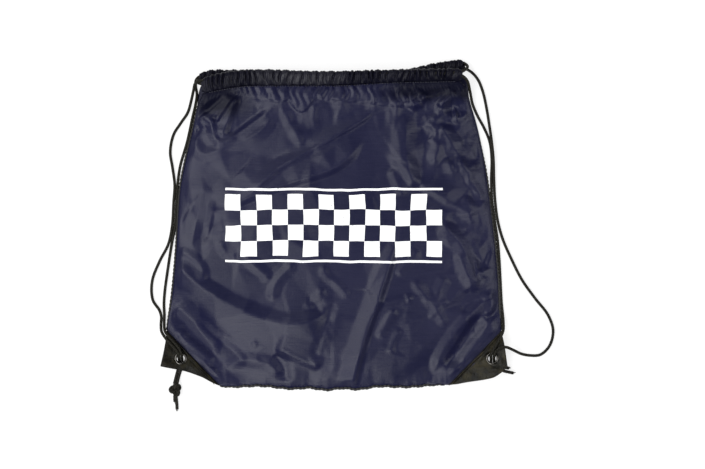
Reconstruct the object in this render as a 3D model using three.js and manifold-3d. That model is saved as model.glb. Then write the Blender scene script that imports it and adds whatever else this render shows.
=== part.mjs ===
// A drawstring sack for a motorcycle helmet, lying empty on a surface with its front up.
// Millimetres. +X is the sack's right, +Y goes towards the mouth, +Z is up, and z = 0 is the surface.
import * as THREE from "three";
import { mergeVertices } from "three/addons/utils/BufferGeometryUtils.js";
import Module from "manifold-3d";

// Sizes of the sack
const bagWidth = 450;
const sideHeight = 355;
const cornerDrop = 186;
const seamSag = 30;
const mouthLeft = 170;
const mouthRight = 163;
const clothWall = 1;
const layerGap = 0.3;

// Sizes of the fullness that the empty cloth keeps
const loft = 19;
const mouthHeight = 15.4;
const foldHeight = 7;
const foldWidth = 16;
const gatherHeight = 1.6;
const cornerFlat = 20;
const cornerEase = 40;

// Sizes of the casings
const casingDepth = 9;
const casingSeam = 2.6;
const casingSink = 0.8;
const casingSpread = 4;
const ruffleShare = 0.14;
const ruffleRise = 0.8;

// Sizes of the corners
const patchWall = 1;
const patchAlongSide = 46;
const patchAlongSeam = 76;
const patchStepsSide = 3;
const patchStepsSeam = 6;
const liftReach = 22;
const eyeletInLeft = 25.4;
const eyeletInRight = 19;
const eyeletRise = 9.5;
const eyeletBore = 10.8;
const eyeletBarrelWall = 0.6;
const eyeletFlange = 16;
const eyeletFlangeWall = 0.6;
const eyeletRoll = 0.6;
const eyeletSides = 18;
const liftLeft = 6.1;
const liftRight = 8.4;

// Sizes of the cords
const cordDiameter = 3.5;
const cordSides = 8;
const knotRadius = 7;
const knotFlatness = 0.62;
const knotSides = 12;
const knotRings = 8;

// Steps of the cloth's grid. The back keeps them all near its corners, and every few in between.
const stepsAcross = 36;
const stepsAlong = 22;
const backEndSteps = 10;
const backLowSteps = 8;
const backStrideAcross = 4;
const backStrideAlong = 3;

// Places along the sack, as shares from the bottom seam (0) to the mouth (1)
const openingFrom = 0.86;
const spreadFrom = 0.93;
const gatherFrom = 0.8;
const gatherFull = 0.93;
const lowFold = 0.2;
const highFold = 0.917;
const gatherEnd = 0.95;

// The sides, from corner to mouth: how far each has come in, as a share of its way to the mouth's end.
const leftSide = [
  { along: 0, inward: 0 },
  { along: 0.077, inward: 0.095 },
  { along: 0.168, inward: 0.167 },
  { along: 0.278, inward: 0.262 },
  { along: 0.425, inward: 0.345 },
  { along: 0.608, inward: 0.414 },
  { along: 0.663, inward: 0.452 },
  { along: 0.791, inward: 0.619 },
  { along: 0.883, inward: 0.762 },
  { along: 0.956, inward: 0.881 },
  { along: 1, inward: 1 },
];
const rightSide = [
  { along: 0, inward: 0 },
  { along: 0.08, inward: 0.0625 },
  { along: 0.126, inward: 0.118 },
  { along: 0.3, inward: 0.167 },
  { along: 0.44, inward: 0.244 },
  { along: 0.58, inward: 0.342 },
  { along: 0.702, inward: 0.44 },
  { along: 0.789, inward: 0.542 },
  { along: 0.866, inward: 0.652 },
  { along: 0.929, inward: 0.785 },
  { along: 0.97, inward: 0.85 },
  { along: 1, inward: 1 },
];

// The bottom seam, from left to right: its rise above the lowest point, as a share of seamSag.
const bottomSeam = [
  { across: 0, rise: 1 },
  { across: 0.03, rise: 0.91 },
  { across: 0.07, rise: 0.78 },
  { across: 0.115, rise: 0.54 },
  { across: 0.17, rise: 0.17 },
  { across: 0.3, rise: 0.1 },
  { across: 0.5, rise: 0 },
  { across: 0.68, rise: 0.12 },
  { across: 0.83, rise: 0.18 },
  { across: 0.89, rise: 0.32 },
  { across: 0.955, rise: 0.5 },
  { across: 0.985, rise: 0.78 },
  { across: 1, rise: 1 },
];

// The casings, from left to right: stitch line and top edge above the side seam's end,
// as shares of sideHeight.
const frontCasingLine = [
  { across: 0, stitch: -0.003, top: 0.054 },
  { across: 0.12, stitch: 0.018, top: 0.078 },
  { across: 0.2, stitch: 0.025, top: 0.083 },
  { across: 0.5, stitch: 0.025, top: 0.077 },
  { across: 0.75, stitch: 0.037, top: 0.083 },
  { across: 1, stitch: 0.042, top: 0.087 },
];
const backCasingLine = [
  { across: 0, stitch: 0.028, top: 0.079 },
  { across: 0.06, stitch: 0.034, top: 0.086 },
  { across: 0.2, stitch: 0.034, top: 0.086 },
  { across: 0.5, stitch: 0.025, top: 0.076 },
  { across: 0.75, stitch: 0.034, top: 0.085 },
  { across: 0.85, stitch: 0.051, top: 0.101 },
  { across: 0.93, stitch: 0.066, top: 0.117 },
  { across: 1, stitch: 0.074, top: 0.126 },
];

// A casing's section, from the stitch line to the rolled top, as shares of its height and depth.
const casingSection = [
  { up: 0, out: 0 },
  { up: 0.4, out: 0 },
  { up: 0.84, out: 0.06 },
  { up: 1, out: 0.42 },
  { up: 0.88, out: 0.86 },
  { up: 0.55, out: 1 },
  { up: 0.18, out: 0.76 },
];

// The fullness from the bottom seam to the mouth, as a share of loft.
const loftAlong = [
  { along: 0, share: 0 },
  { along: 0.05, share: 0.3 },
  { along: 0.13, share: 0.62 },
  { along: 0.28, share: 0.9 },
  { along: 0.5, share: 1 },
  { along: 0.7, share: 1 },
  { along: 0.84, share: 0.9 },
  { along: 0.93, share: 0.5 },
  { along: 1, share: 0 },
];

// Folds of the front: each a ridge along a path of points, x and y as shares of half the width and height.
// Height is a share of foldHeight. Soft and steep are the widths of its two sides, as shares of foldWidth.
const folds = [
  {
    path: [[0.27, 0.77], [0.03, 0.58], [-0.2, 0.44], [-0.49, 0.18]],
    height: 0.9, soft: 1.3, steep: 0.6,
  },
  {
    path: [[-0.01, -1.06], [0.08, -0.86], [0.15, -0.64], [0.24, -0.38], [0.41, 0.05]],
    height: 1.3, soft: 0.8, steep: 0.7,
  },
  {
    path: [[-0.91, -0.31], [-0.77, -0.44], [-0.6, -0.57], [-0.43, -0.64], [-0.2, -0.71]],
    height: 1, soft: 1.2, steep: 1,
  },
  {
    path: [[0.96, -0.44], [0.84, -0.57], [0.73, -0.74], [0.64, -0.87], [0.58, -1.02]],
    height: 1.1, soft: 0.9, steep: 0.7,
  },
  {
    path: [[0.5, 0.28], [0.61, 0.15], [0.7, -0.08], [0.84, -0.18]],
    height: 0.7, soft: 0.9, steep: 0.6,
  },
  {
    path: [[0.61, 0.03], [0.76, -0.15], [0.9, -0.44]],
    height: 0.6, soft: 0.8, steep: 0.6,
  },
  {
    path: [[0.44, 0.72], [0.41, 0.48], [0.45, 0.2]],
    height: 0.9, soft: 0.9, steep: 0.7,
  },
  {
    path: [[0.62, 0.75], [0.58, 0.55], [0.64, 0.33]],
    height: 0.7, soft: 0.7, steep: 0.7,
  },
  {
    path: [[0.76, 0.68], [0.77, 0.48], [0.83, 0.26]],
    height: 0.5, soft: 0.7, steep: 0.6,
  },
  {
    path: [[-0.7, 0.78], [-0.71, 0.64], [-0.65, 0.51], [-0.56, 0.57], [-0.34, 0.78]],
    height: 0.7, soft: 0.7, steep: 0.6,
  },
  {
    path: [[-0.84, 0.56], [-0.78, 0.46], [-0.6, 0.47], [-0.4, 0.36]],
    height: 0.6, soft: 0.8, steep: 0.7,
  },
  {
    path: [[-0.88, 0.33], [-0.5, 0.4], [-0.15, 0.36], [0.1, 0.56]],
    height: 0.5, soft: 1.8, steep: 1.6,
  },
  {
    path: [[-0.93, -0.52], [-0.8, -0.68], [-0.62, -0.8]],
    height: -0.6, soft: 1.2, steep: 1.2,
  },
  {
    path: [[0.33, -0.42], [0.42, -0.62], [0.36, -0.85]],
    height: 0.4, soft: 1.1, steep: 0.9,
  },
];

// The routes of the cords, from knot to knot, in millimetres: first up one side and into the back casing,
// across it, round at the far end, back through the front casing, and down again.
const leftRoute = [
  [-204.4, -209.6, 3.8], [-201.2, -199, 1.9], [-198.4, -187, 1.85], [-198, -183, 1.85], [-197.8, -179, 3.3],
  [-197.7, -173.2, 10.5], [-198.4, -169.2, 12.9], [-200.5, -163.5, 12.2],
  [-207.5, -155, 11.2], [-214.5, -147.5, 11.2],
  [-219.6, -140, 9.8], [-221, -131, 5.6], [-221.2, -120, 2.2], [-221.8, -106, 1.85], [-220.8, -90, 1.85],
  [-216.3, -57, 1.85], [-211.4, -26, 1.85], [-207.2, -4, 1.85], [-205.2, 28, 1.85], [-203.9, 50, 1.85],
  [-200.6, 74, 1.85], [-191.4, 106, 1.85], [-184.4, 138, 1.85], [-180.6, 154, 1.85], [-178.8, 168, 1.85],
  [-180.4, 178, 1.9], [-180, 186, 2.1], [-175.5, 190.6, 3.1], [-166, 191.3, 3.4], [-110, 193.4, 3.4],
  [0, 190.3, 3.4], [70, 192.2, 3.4], [118, 199.4, 3.4], [152, 206.6, 3.4], [169.5, 208.1, 3.6],
  [176.5, 205.4, 7.6], [176, 200.6, 14.6], [164, 195.4, 19.8], [90, 194.2, 19.8], [-10, 190.6, 19.8],
  [-100, 191.7, 19.8], [-158, 184, 19.8], [-168, 183.8, 20], [-175, 183.2, 21.4], [-179.4, 179.6, 20],
  [-181.8, 173, 14], [-185.4, 160, 7.6], [-190.6, 144, 3], [-200, 130, 1.85], [-209.3, 115, 1.85],
  [-213.6, 93, 1.85], [-210.6, 72, 1.85], [-207.8, 50, 1.85], [-209.1, 28, 1.85], [-211.2, -5, 1.85],
  [-216.2, -28, 1.85], [-227.5, -50, 1.85], [-237.2, -76, 1.85], [-236.4, -100, 1.85], [-227.6, -114, 1.85],
  [-225.2, -122, 2.4], [-225.2, -132, 5.8], [-223.8, -141, 10.2], [-218, -150, 11.9], [-211, -158, 12],
  [-205.2, -164.5, 12.6], [-202, -169.2, 13.5], [-201.6, -173.2, 11.4],
  [-201.6, -178, 4.5], [-201.6, -181.4, 2.1],
  [-202.6, -187, 1.85], [-206.4, -199, 1.9], [-208.2, -209.6, 3.8],
];
const rightRoute = [
  [205.6, -183.6, 3.6], [204.6, -181.8, 4], [204.3, -179.6, 6.1], [203.6, -173.6, 12.9], [204, -170, 15.2],
  [206.6, -164.5, 15.2], [211.4, -156, 13.9], [216, -148, 13.2], [219.6, -139.6, 11.4], [220.4, -130, 6.6],
  [219.8, -118, 2.2], [218.4, -104, 1.85], [216.8, -74, 1.85], [215.4, -48, 1.85], [213.2, -22, 1.85],
  [209.2, 4, 1.85], [205.9, 30, 1.85], [205, 56, 1.85], [205.6, 84, 1.85], [202.9, 106, 1.85],
  [195.6, 124, 1.85], [187.2, 139.4, 2], [180.4, 155, 4.6], [176.4, 172, 10.4], [172.4, 184.4, 16.4],
  [163, 191.2, 19.6], [90, 190.2, 19.6], [-10, 186.4, 19.6], [-100, 187.5, 19.6], [-158, 179.6, 19.6],
  [-169, 179.4, 19.5], [-175.6, 181.2, 16.4], [-177.4, 184, 10.8], [-176.4, 186.4, 5.4], [-170, 187, 3.3],
  [-110, 189.2, 3.1], [0, 186.1, 3.1], [70, 188, 3.1], [118, 195.2, 3.1], [150, 201.6, 3.1],
  [166, 202.6, 3.2], [178, 197.4, 3], [187.4, 187.2, 2.2], [193.8, 172, 1.85], [198.8, 150, 1.85],
  [202.6, 126, 2.6], [205.2, 106, 5.6], [207.4, 84, 5.7], [208.4, 56, 3.4], [209.9, 30, 1.85],
  [213.2, 4, 1.85], [219.6, -20, 1.85], [230.8, -46, 1.85], [245, -74, 1.85], [262, -98, 1.85],
  [279, -120, 1.85], [285.6, -140, 1.85], [281, -160, 1.85], [269, -171.6, 1.85], [255, -172.6, 1.9],
  [244, -170.4, 3.4], [236, -166.6, 7.4], [229.6, -163.4, 12], [223.6, -161, 15.6], [217, -160.8, 16.4],
  [211.4, -164.4, 16], [208.2, -169.4, 16], [207.6, -173.6, 12.9], [208.3, -179.6, 6.4],
  [208.6, -181.2, 5],
];

// The tails beyond the knots, from the middle of the knot to the cut ends.
const leftKnotPlace = [-206.3, -217.2, 4.9];
const leftTails = [
  [[-206, -219, 4], [-205.4, -228, 2.4], [-204, -236, 1.85], [-203.4, -243, 1.85]],
  [[-208, -219, 4], [-209.4, -226.5, 2.4], [-209, -233, 1.85]],
];
const rightKnotPlace = [213.6, -188.4, 4.6];
const rightTails = [
  [[215, -188, 3.6], [222, -188.4, 2.2], [228.2, -189.2, 1.85]],
  [[215, -190, 3.6], [222, -193, 2.2], [229, -194.6, 1.85], [234, -195.7, 1.85]],
];

const cloth = new THREE.MeshStandardMaterial({ color: 0x1c2050, roughness: 0.45, metalness: 0 });
const leather = new THREE.MeshStandardMaterial({ color: 0x1c1a14, roughness: 0.5, metalness: 0 });
const nickel = new THREE.MeshStandardMaterial({ color: 0xc8c8c6, roughness: 0.3, metalness: 1 });
const braid = new THREE.MeshStandardMaterial({ color: 0x24221c, roughness: 0.8, metalness: 0 });

// A table's column at a place along its key, on straight lines between rows.
function lookUp(rows, key, column, place) {
  for (let i = 1; i < rows.length; i += 1) {
    const before = rows[i - 1];
    const after = rows[i];
    if (place <= after[key]) {
      const share = (place - before[key]) / (after[key] - before[key]);
      return THREE.MathUtils.lerp(before[column], after[column], share);
    }
  }
  return rows[rows.length - 1][column];
}

const halfWidth = bagWidth / 2;
const halfHeight = (sideHeight + seamSag) / 2;
const middleY = sideHeight - cornerDrop - halfHeight;
const mouthY = sideHeight - cornerDrop;

function leftEdge(v) {
  const inward = lookUp(leftSide, "along", "inward", v);
  return { x: -halfWidth + inward * (halfWidth - mouthLeft), y: -cornerDrop + v * sideHeight };
}

function rightEdge(v) {
  const inward = lookUp(rightSide, "along", "inward", v);
  return { x: halfWidth - inward * (halfWidth - mouthRight), y: -cornerDrop + v * sideHeight };
}

function bottomEdge(u) {
  const rise = lookUp(bottomSeam, "across", "rise", u);
  return { x: -halfWidth + u * bagWidth, y: -cornerDrop - seamSag * (1 - rise) };
}

function stitchLine(line, u) {
  return mouthY + lookUp(line, "across", "stitch", u) * sideHeight;
}

// A point of the sack's outline grid: u runs from left to right, v from the bottom seam to the mouth.
function clothPoint(u, v, line, spread) {
  const left = leftEdge(v);
  const right = rightEdge(v);
  const bottom = bottomEdge(u);
  const x = THREE.MathUtils.lerp(left.x, right.x, u);
  const nearMouth = THREE.MathUtils.smoothstep(v, openingFrom, 1);
  const spreadX = spread * (2 * u - 1) * THREE.MathUtils.smoothstep(v, spreadFrom, 1);
  const plainTop = stitchLine(frontCasingLine, u);
  const shift = (stitchLine(line, u) - plainTop) * nearMouth;
  const y = THREE.MathUtils.lerp(bottom.y, plainTop - layerGap, v);
  return { x: x + spreadX, y: y + shift };
}

// A corner of the sack: the patch's long edge, and how far each point lies beyond it.
function makeCorner(side, lift, eyeletIn) {
  const edge = side < 0 ? leftEdge : rightEdge;
  const upper = edge(patchAlongSide / sideHeight);
  const seamShare = patchAlongSeam / bagWidth;
  const lower = bottomEdge(side < 0 ? seamShare : 1 - seamShare);
  const length = Math.hypot(lower.x - upper.x, lower.y - upper.y);
  const nx = (side * (upper.y - lower.y)) / length;
  const ny = (side * (lower.x - upper.x)) / length;
  const beyond = (x, y) => (x - upper.x) * nx + (y - upper.y) * ny;
  const eyelet = { x: side * (halfWidth - eyeletIn), y: -cornerDrop + eyeletRise };
  const slope = lift / (beyond(eyelet.x, eyelet.y) + liftReach);
  return { side, nx, ny, beyond, eyelet, slope };
}

const corners = [makeCorner(-1, liftLeft, eyeletInLeft), makeCorner(1, liftRight, eyeletInRight)];

// The underside of the back: flat on the surface, and lifted on a slope at the two lower corners.
function backUnder(x, y) {
  return Math.max(0, ...corners.map((c) => c.slope * (c.beyond(x, y) + liftReach)));
}

// A fold's ridge height at a point: the nearest place on its path, with a soft and a steep side,
// highest at the middle of the path and lower towards its ends.
function foldAt(fold, x, y) {
  let nearest = Infinity;
  let side = 1;
  let fade = 1;
  const last = fold.path.length - 1;
  for (let i = 0; i < last; i += 1) {
    const ax = fold.path[i][0] * halfWidth;
    const ay = fold.path[i][1] * halfHeight + middleY;
    const bx = fold.path[i + 1][0] * halfWidth - ax;
    const by = fold.path[i + 1][1] * halfHeight + middleY - ay;
    const along = ((x - ax) * bx + (y - ay) * by) / (bx * bx + by * by);
    const held = THREE.MathUtils.clamp(along, 0, 1);
    const away = Math.hypot(x - ax - held * bx, y - ay - held * by);
    if (away < nearest) {
      nearest = away;
      side = Math.sign(bx * (y - ay) - by * (x - ax));
      fade = Math.sin((Math.PI * (0.15 + 0.85 * (i + held))) / (last + 0.3));
    }
  }
  const width = foldWidth * (side > 0 ? fold.soft : fold.steep);
  return fold.height * foldHeight * Math.exp(-((nearest / width) ** 2)) * Math.max(fade, 0.25);
}

// How far the front stands off the back: nothing at the seams and corners, most in the middle.
function frontStandoff(u, v, x, y) {
  const across = Math.sqrt(Math.sin(Math.PI * u));
  const full = loft * across * lookUp(loftAlong, "along", "share", v);
  const open = mouthHeight * THREE.MathUtils.smoothstep(v, openingFrom, 1);
  const beyond = Math.max(...corners.map((c) => c.beyond(x, y)));
  const free = THREE.MathUtils.smoothstep(-beyond, cornerFlat, cornerFlat + cornerEase);
  const ease = across * Math.min(1, v / lowFold, (1 - v) / (1 - highFold));
  let relief = 0;
  for (const fold of folds) relief += foldAt(fold, x, y);
  const gather = Math.cos(Math.PI * stepsAcross * u) * gatherHeight;
  const gathered = gather * THREE.MathUtils.smoothstep(v, gatherFrom, gatherFull) * across;
  const faded = gathered * Math.min(1, (1 - v) / (1 - gatherEnd));
  return open + free * (full + ease * relief) + faded;
}

function evenSteps(count) {
  return Array.from({ length: count + 1 }, (_, i) => i / count);
}

// A geometry of indexed triangles in one closed skin.
function skin(points, triangles) {
  const geometry = new THREE.BufferGeometry();
  geometry.setAttribute("position", new THREE.Float32BufferAttribute(points.flat(), 3));
  geometry.setIndex(triangles.flat());
  geometry.computeVertexNormals();
  return geometry;
}

// A sheet of cloth: a grid of points, its underside and its upper side, closed along the rim.
function sheet(us, vs, place) {
  const points = [];
  const triangles = [];
  const wide = us.length;
  const size = wide * vs.length;
  for (const v of vs) for (const u of us) points.push(place(u, v, 0));
  for (const v of vs) for (const u of us) points.push(place(u, v, clothWall));
  const quad = (a, b, c, d) => triangles.push([a, b, c], [a, c, d]);
  for (let j = 0; j + 1 < vs.length; j += 1) {
    for (let i = 0; i + 1 < wide; i += 1) {
      const a = j * wide + i;
      quad(size + a, size + a + 1, size + a + wide + 1, size + a + wide);
      quad(a, a + wide, a + wide + 1, a + 1);
    }
  }
  const rim = [];
  for (let i = 0; i + 1 < wide; i += 1) rim.push(i);
  for (let j = 0; j + 1 < vs.length; j += 1) rim.push(j * wide + wide - 1);
  for (let i = wide - 1; i > 0; i -= 1) rim.push(size - wide + i);
  for (let j = vs.length - 1; j > 0; j -= 1) rim.push(j * wide);
  rim.forEach((a, k) => {
    const b = rim[(k + 1) % rim.length];
    quad(a, b, size + b, size + a);
  });
  return skin(points, triangles);
}

// A polygon's corners moved inwards by a wall.
function inset(polygon, wall) {
  return polygon.map((p, i) => {
    const before = polygon[(i + polygon.length - 1) % polygon.length];
    const after = polygon[(i + 1) % polygon.length];
    const a = new THREE.Vector2(p.x - before.x, p.y - before.y).normalize();
    const b = new THREE.Vector2(after.x - p.x, after.y - p.y).normalize();
    const middle = new THREE.Vector2(-a.y - b.y, a.x + b.x).normalize();
    const reach = wall / Math.max(0.5, middle.x * -a.y + middle.y * a.x);
    return new THREE.Vector2(p.x + middle.x * reach, p.y + middle.y * reach);
  });
}

// A casing: a ruffled hollow hem, pinched at its stitch line and open at both ends.
function casing(line, spread, baseZ) {
  const points = [];
  const triangles = [];
  const count = casingSection.length + 1;
  const steps = evenSteps(stepsAcross);
  steps.forEach((u, i) => {
    const ruffle = (i % 2 ? 1 : -1) * (0.6 + 0.4 * Math.sin(2.3 * i));
    const x = THREE.MathUtils.lerp(-mouthLeft, mouthRight, u) + spread * (2 * u - 1);
    const low = stitchLine(line, u);
    const high = mouthY + lookUp(line, "across", "top", u) * sideHeight + ruffleRise * ruffle;
    const depth = casingDepth * (1 + ruffleShare * ruffle);
    const outer = casingSection.map((s) => new THREE.Vector2(low + s.up * (high - low), s.out * depth));
    outer.push(new THREE.Vector2(low, casingSeam));
    for (const p of outer) points.push([x, p.x, baseZ + p.y]);
    for (const p of inset(outer, clothWall)) points.push([x, p.x, baseZ + p.y]);
  });
  const ring = 2 * count;
  const quad = (a, b, c, d) => triangles.push([a, b, c], [a, c, d]);
  for (let i = 0; i < steps.length; i += 1) {
    for (let k = 0; k < count; k += 1) {
      const next = (k + 1) % count;
      const a = i * ring;
      if (i === 0) quad(a + k, a + count + k, a + count + next, a + next);
      if (i === steps.length - 1) quad(a + k, a + next, a + count + next, a + count + k);
      if (i === steps.length - 1) continue;
      quad(a + k, a + next, a + ring + next, a + ring + k);
      quad(a + count + k, a + ring + count + k, a + ring + count + next, a + count + next);
    }
  }
  return skin(points, triangles);
}

const wasm = await Module();
wasm.setup();

function solid(geometry) {
  const bare = geometry.clone();
  bare.deleteAttribute("normal");
  bare.deleteAttribute("uv");
  const merged = mergeVertices(bare, 1e-4);
  return new wasm.Manifold(
    new wasm.Mesh({
      numProp: 3,
      vertProperties: new Float32Array(merged.attributes.position.array),
      triVerts: new Uint32Array(merged.index.array),
    }),
  );
}

function fromSolid(body) {
  const mesh = body.getMesh();
  const geometry = new THREE.BufferGeometry();
  geometry.setAttribute("position", new THREE.Float32BufferAttribute(mesh.vertProperties, 3));
  geometry.setIndex(Array.from(mesh.triVerts));
  geometry.computeVertexNormals();
  return geometry;
}

const barrelRadius = eyeletBore / 2 + eyeletBarrelWall;
const holeRadius = barrelRadius + layerGap;
const stackHeight = 2 * patchWall + 2 * clothWall + 3 * layerGap;
const drillLength = 8 * stackHeight;
const drillSides = 20;

// A corner's own frame at its eyelet, tilted as the corner is.
function cornerFrame(corner) {
  const up = new THREE.Vector3(-corner.slope * corner.nx, -corner.slope * corner.ny, 1).normalize();
  const turn = new THREE.Quaternion().setFromUnitVectors(new THREE.Vector3(0, 0, 1), up);
  const low = backUnder(corner.eyelet.x, corner.eyelet.y) - layerGap - patchWall;
  return { turn, place: new THREE.Vector3(corner.eyelet.x, corner.eyelet.y, low) };
}

// The holes for both eyelets, cut through whatever lies in the corners.
function cutHoles(geometry, chosen) {
  let body = solid(geometry);
  for (const corner of chosen) {
    const { turn, place } = cornerFrame(corner);
    const drill = new THREE.CylinderGeometry(holeRadius, holeRadius, drillLength, drillSides);
    drill.rotateX(Math.PI / 2);
    drill.applyQuaternion(turn);
    drill.translate(place.x, place.y, place.z);
    body = body.subtract(solid(drill));
  }
  return fromSolid(body);
}

function backPanel() {
  const us = evenSteps(stepsAcross).filter((_, i) => {
    const fromEnd = Math.min(i, stepsAcross - i);
    return fromEnd < backEndSteps || (i - backEndSteps) % backStrideAcross === 0;
  });
  const vs = evenSteps(stepsAlong).filter((_, i) => {
    return i < backLowSteps || i === stepsAlong || i % backStrideAlong === 0;
  });
  const place = (u, v, up) => {
    const p = clothPoint(u, v, backCasingLine, casingSpread);
    return [p.x, p.y, backUnder(p.x, p.y) + up];
  };
  return cutHoles(sheet(us, vs, place), corners);
}

function frontPanel() {
  const place = (u, v, up) => {
    const p = clothPoint(u, v, frontCasingLine, 0);
    const off = clothWall + layerGap + frontStandoff(u, v, p.x, p.y);
    return [p.x, p.y, backUnder(p.x, p.y) + off + up];
  };
  return cutHoles(sheet(evenSteps(stepsAcross), evenSteps(stepsAlong), place), corners);
}

// A corner patch: the triangle between the side, the bottom seam and its long edge,
// laid on the corner's slope.
function patch(corner, off) {
  const edge = corner.side < 0 ? leftEdge : rightEdge;
  const outline = new THREE.Shape();
  const sideShare = patchAlongSide / sideHeight;
  const seamShare = patchAlongSeam / bagWidth;
  const points = evenSteps(patchStepsSide).map((t) => edge(sideShare * (1 - t)));
  for (const t of evenSteps(patchStepsSeam).slice(1)) {
    points.push(bottomEdge(corner.side < 0 ? seamShare * t : 1 - seamShare * t));
  }
  outline.setFromPoints(points.map((p) => new THREE.Vector2(p.x, p.y)));
  const plate = new THREE.ExtrudeGeometry(outline, { depth: patchWall, bevelEnabled: false });
  const position = plate.attributes.position;
  for (let i = 0; i < position.count; i += 1) {
    const slope = corner.slope * (corner.beyond(position.getX(i), position.getY(i)) + liftReach);
    position.setZ(i, position.getZ(i) + slope + off);
  }
  return cutHoles(plate, [corner]);
}

// An eyelet: a barrel with a rolled flange at each end.
function eyelet() {
  const flange = eyeletFlange / 2;
  const bore = eyeletBore / 2;
  const low = -layerGap;
  const high = stackHeight + layerGap;
  const profile = [
    new THREE.Vector2(bore, low - eyeletFlangeWall),
    new THREE.Vector2(flange - eyeletRoll, low - eyeletFlangeWall),
    new THREE.Vector2(flange, low),
    new THREE.Vector2(barrelRadius, low),
    new THREE.Vector2(barrelRadius, high),
    new THREE.Vector2(flange, high),
    new THREE.Vector2(flange - eyeletRoll, high + eyeletFlangeWall),
    new THREE.Vector2(bore, high + eyeletFlangeWall),
    new THREE.Vector2(bore, low - eyeletFlangeWall),
  ];
  const ring = new THREE.LatheGeometry(profile, eyeletSides);
  ring.rotateX(Math.PI / 2);
  return ring;
}

// A path whose steps fall on its own chosen points.
class Route extends THREE.CatmullRomCurve3 {
  getUtoTmapping(u) {
    return u;
  }
}

function cordTube(points) {
  const section = new THREE.Shape();
  const corner = (k) => (2 * Math.PI * (k + 0.5)) / cordSides;
  const ring = Array.from({ length: cordSides }, (_, k) => {
    return new THREE.Vector2(Math.cos(corner(k)), Math.sin(corner(k))).multiplyScalar(cordDiameter / 2);
  });
  section.setFromPoints(ring);
  const path = new Route(points.map((p) => new THREE.Vector3(...p)));
  return new THREE.ExtrudeGeometry(section, {
    steps: points.length - 1,
    extrudePath: path,
    bevelEnabled: false,
  });
}

// A knot: one flattened lump with its two tails.
function knot(place, tails) {
  const lump = new THREE.SphereGeometry(knotRadius, knotSides, knotRings);
  lump.rotateX(Math.PI / 2);
  lump.scale(1, 1, knotFlatness);
  lump.translate(...place);
  let body = solid(lump);
  for (const tail of tails) body = body.add(solid(cordTube(tail)));
  return fromSolid(body);
}

const bag = new THREE.Group();

function add(name, geometry, material, parent = bag) {
  const mesh = new THREE.Mesh(geometry, material.clone());
  mesh.name = name;
  parent.add(mesh);
  return mesh;
}

add("back_panel", backPanel(), cloth);
add("front_panel", frontPanel(), cloth);
add("back_casing", casing(backCasingLine, casingSpread, 0), cloth);
add("front_casing", casing(frontCasingLine, 0, clothWall + layerGap + mouthHeight - casingSink), cloth);

for (const corner of corners) {
  const side = corner.side < 0 ? "left" : "right";
  add("patch_back_" + side, patch(corner, -layerGap - patchWall), leather);
  add("patch_front_" + side, patch(corner, 2 * clothWall + 2 * layerGap), leather);
  const frame = cornerFrame(corner);
  const seat = new THREE.Group();
  seat.position.copy(frame.place);
  seat.quaternion.copy(frame.turn);
  bag.add(seat);
  add("eyelet_" + side, eyelet(), nickel, seat);
}

add("drawcord_left", cordTube(leftRoute), braid);
add("drawcord_right", cordTube(rightRoute), braid);
add("knot_left", knot(leftKnotPlace, leftTails), braid);
add("knot_right", knot(rightKnotPlace, rightTails), braid);

export default bag;
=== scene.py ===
# The looks of a drawstring sack for a motorcycle helmet, which lies empty with its front up.
import math

import bpy
import numpy as np
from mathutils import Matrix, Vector, kdtree
from mathutils.geometry import delaunay_2d_cdt


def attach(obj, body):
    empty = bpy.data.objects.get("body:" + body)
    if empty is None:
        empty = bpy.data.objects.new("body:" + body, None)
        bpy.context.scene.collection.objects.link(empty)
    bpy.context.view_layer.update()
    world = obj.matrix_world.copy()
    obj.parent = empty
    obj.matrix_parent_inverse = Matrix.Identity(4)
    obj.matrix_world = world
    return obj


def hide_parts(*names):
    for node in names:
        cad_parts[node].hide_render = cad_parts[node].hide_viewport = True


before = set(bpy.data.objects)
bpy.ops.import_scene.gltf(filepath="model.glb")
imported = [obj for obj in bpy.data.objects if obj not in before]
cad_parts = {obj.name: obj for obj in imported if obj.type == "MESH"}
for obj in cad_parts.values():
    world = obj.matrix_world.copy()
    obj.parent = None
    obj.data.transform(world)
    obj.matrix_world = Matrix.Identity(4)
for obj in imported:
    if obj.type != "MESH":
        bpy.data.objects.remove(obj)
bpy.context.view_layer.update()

# Sizes are in millimetres here and become metres where a mesh or a light is made.
MM = 0.001

# Sizes of the sack
BAG_WIDTH = 450
SIDE_HEIGHT = 355
CORNER_DROP = 186
SEAM_SAG = 30
MOUTH_LEFT = 170
MOUTH_RIGHT = 163
LAYER_GAP = 0.3
CLOTH = 0.5
LOFT = 19
MOUTH_HEIGHT = 15.4
OPENING_FROM = 0.86
CORNER_FLAT = 20
CORNER_EASE = 40
PATCH_ALONG_SIDE = 46
PATCH_ALONG_SEAM = 76
EYELET_UP = 9.5
LIFT_REACH = 22
CASING_DEPTH = 9
CASING_SPREAD = 4
FRONT_CASING_BASE = 15.9
FRONT_TOP = 2.3
CORD_DIAMETER = 3.5

HALF_WIDTH = BAG_WIDTH / 2
MOUTH_Y = SIDE_HEIGHT - CORNER_DROP

# The photograph's frame: its size, the pixel that shows the sack's origin, and the size of a pixel.
IMAGE_WIDTH = 705
IMAGE_HEIGHT = 469
ORIGIN_PIXEL = (334, 223)
PIXEL = 1.3

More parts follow.
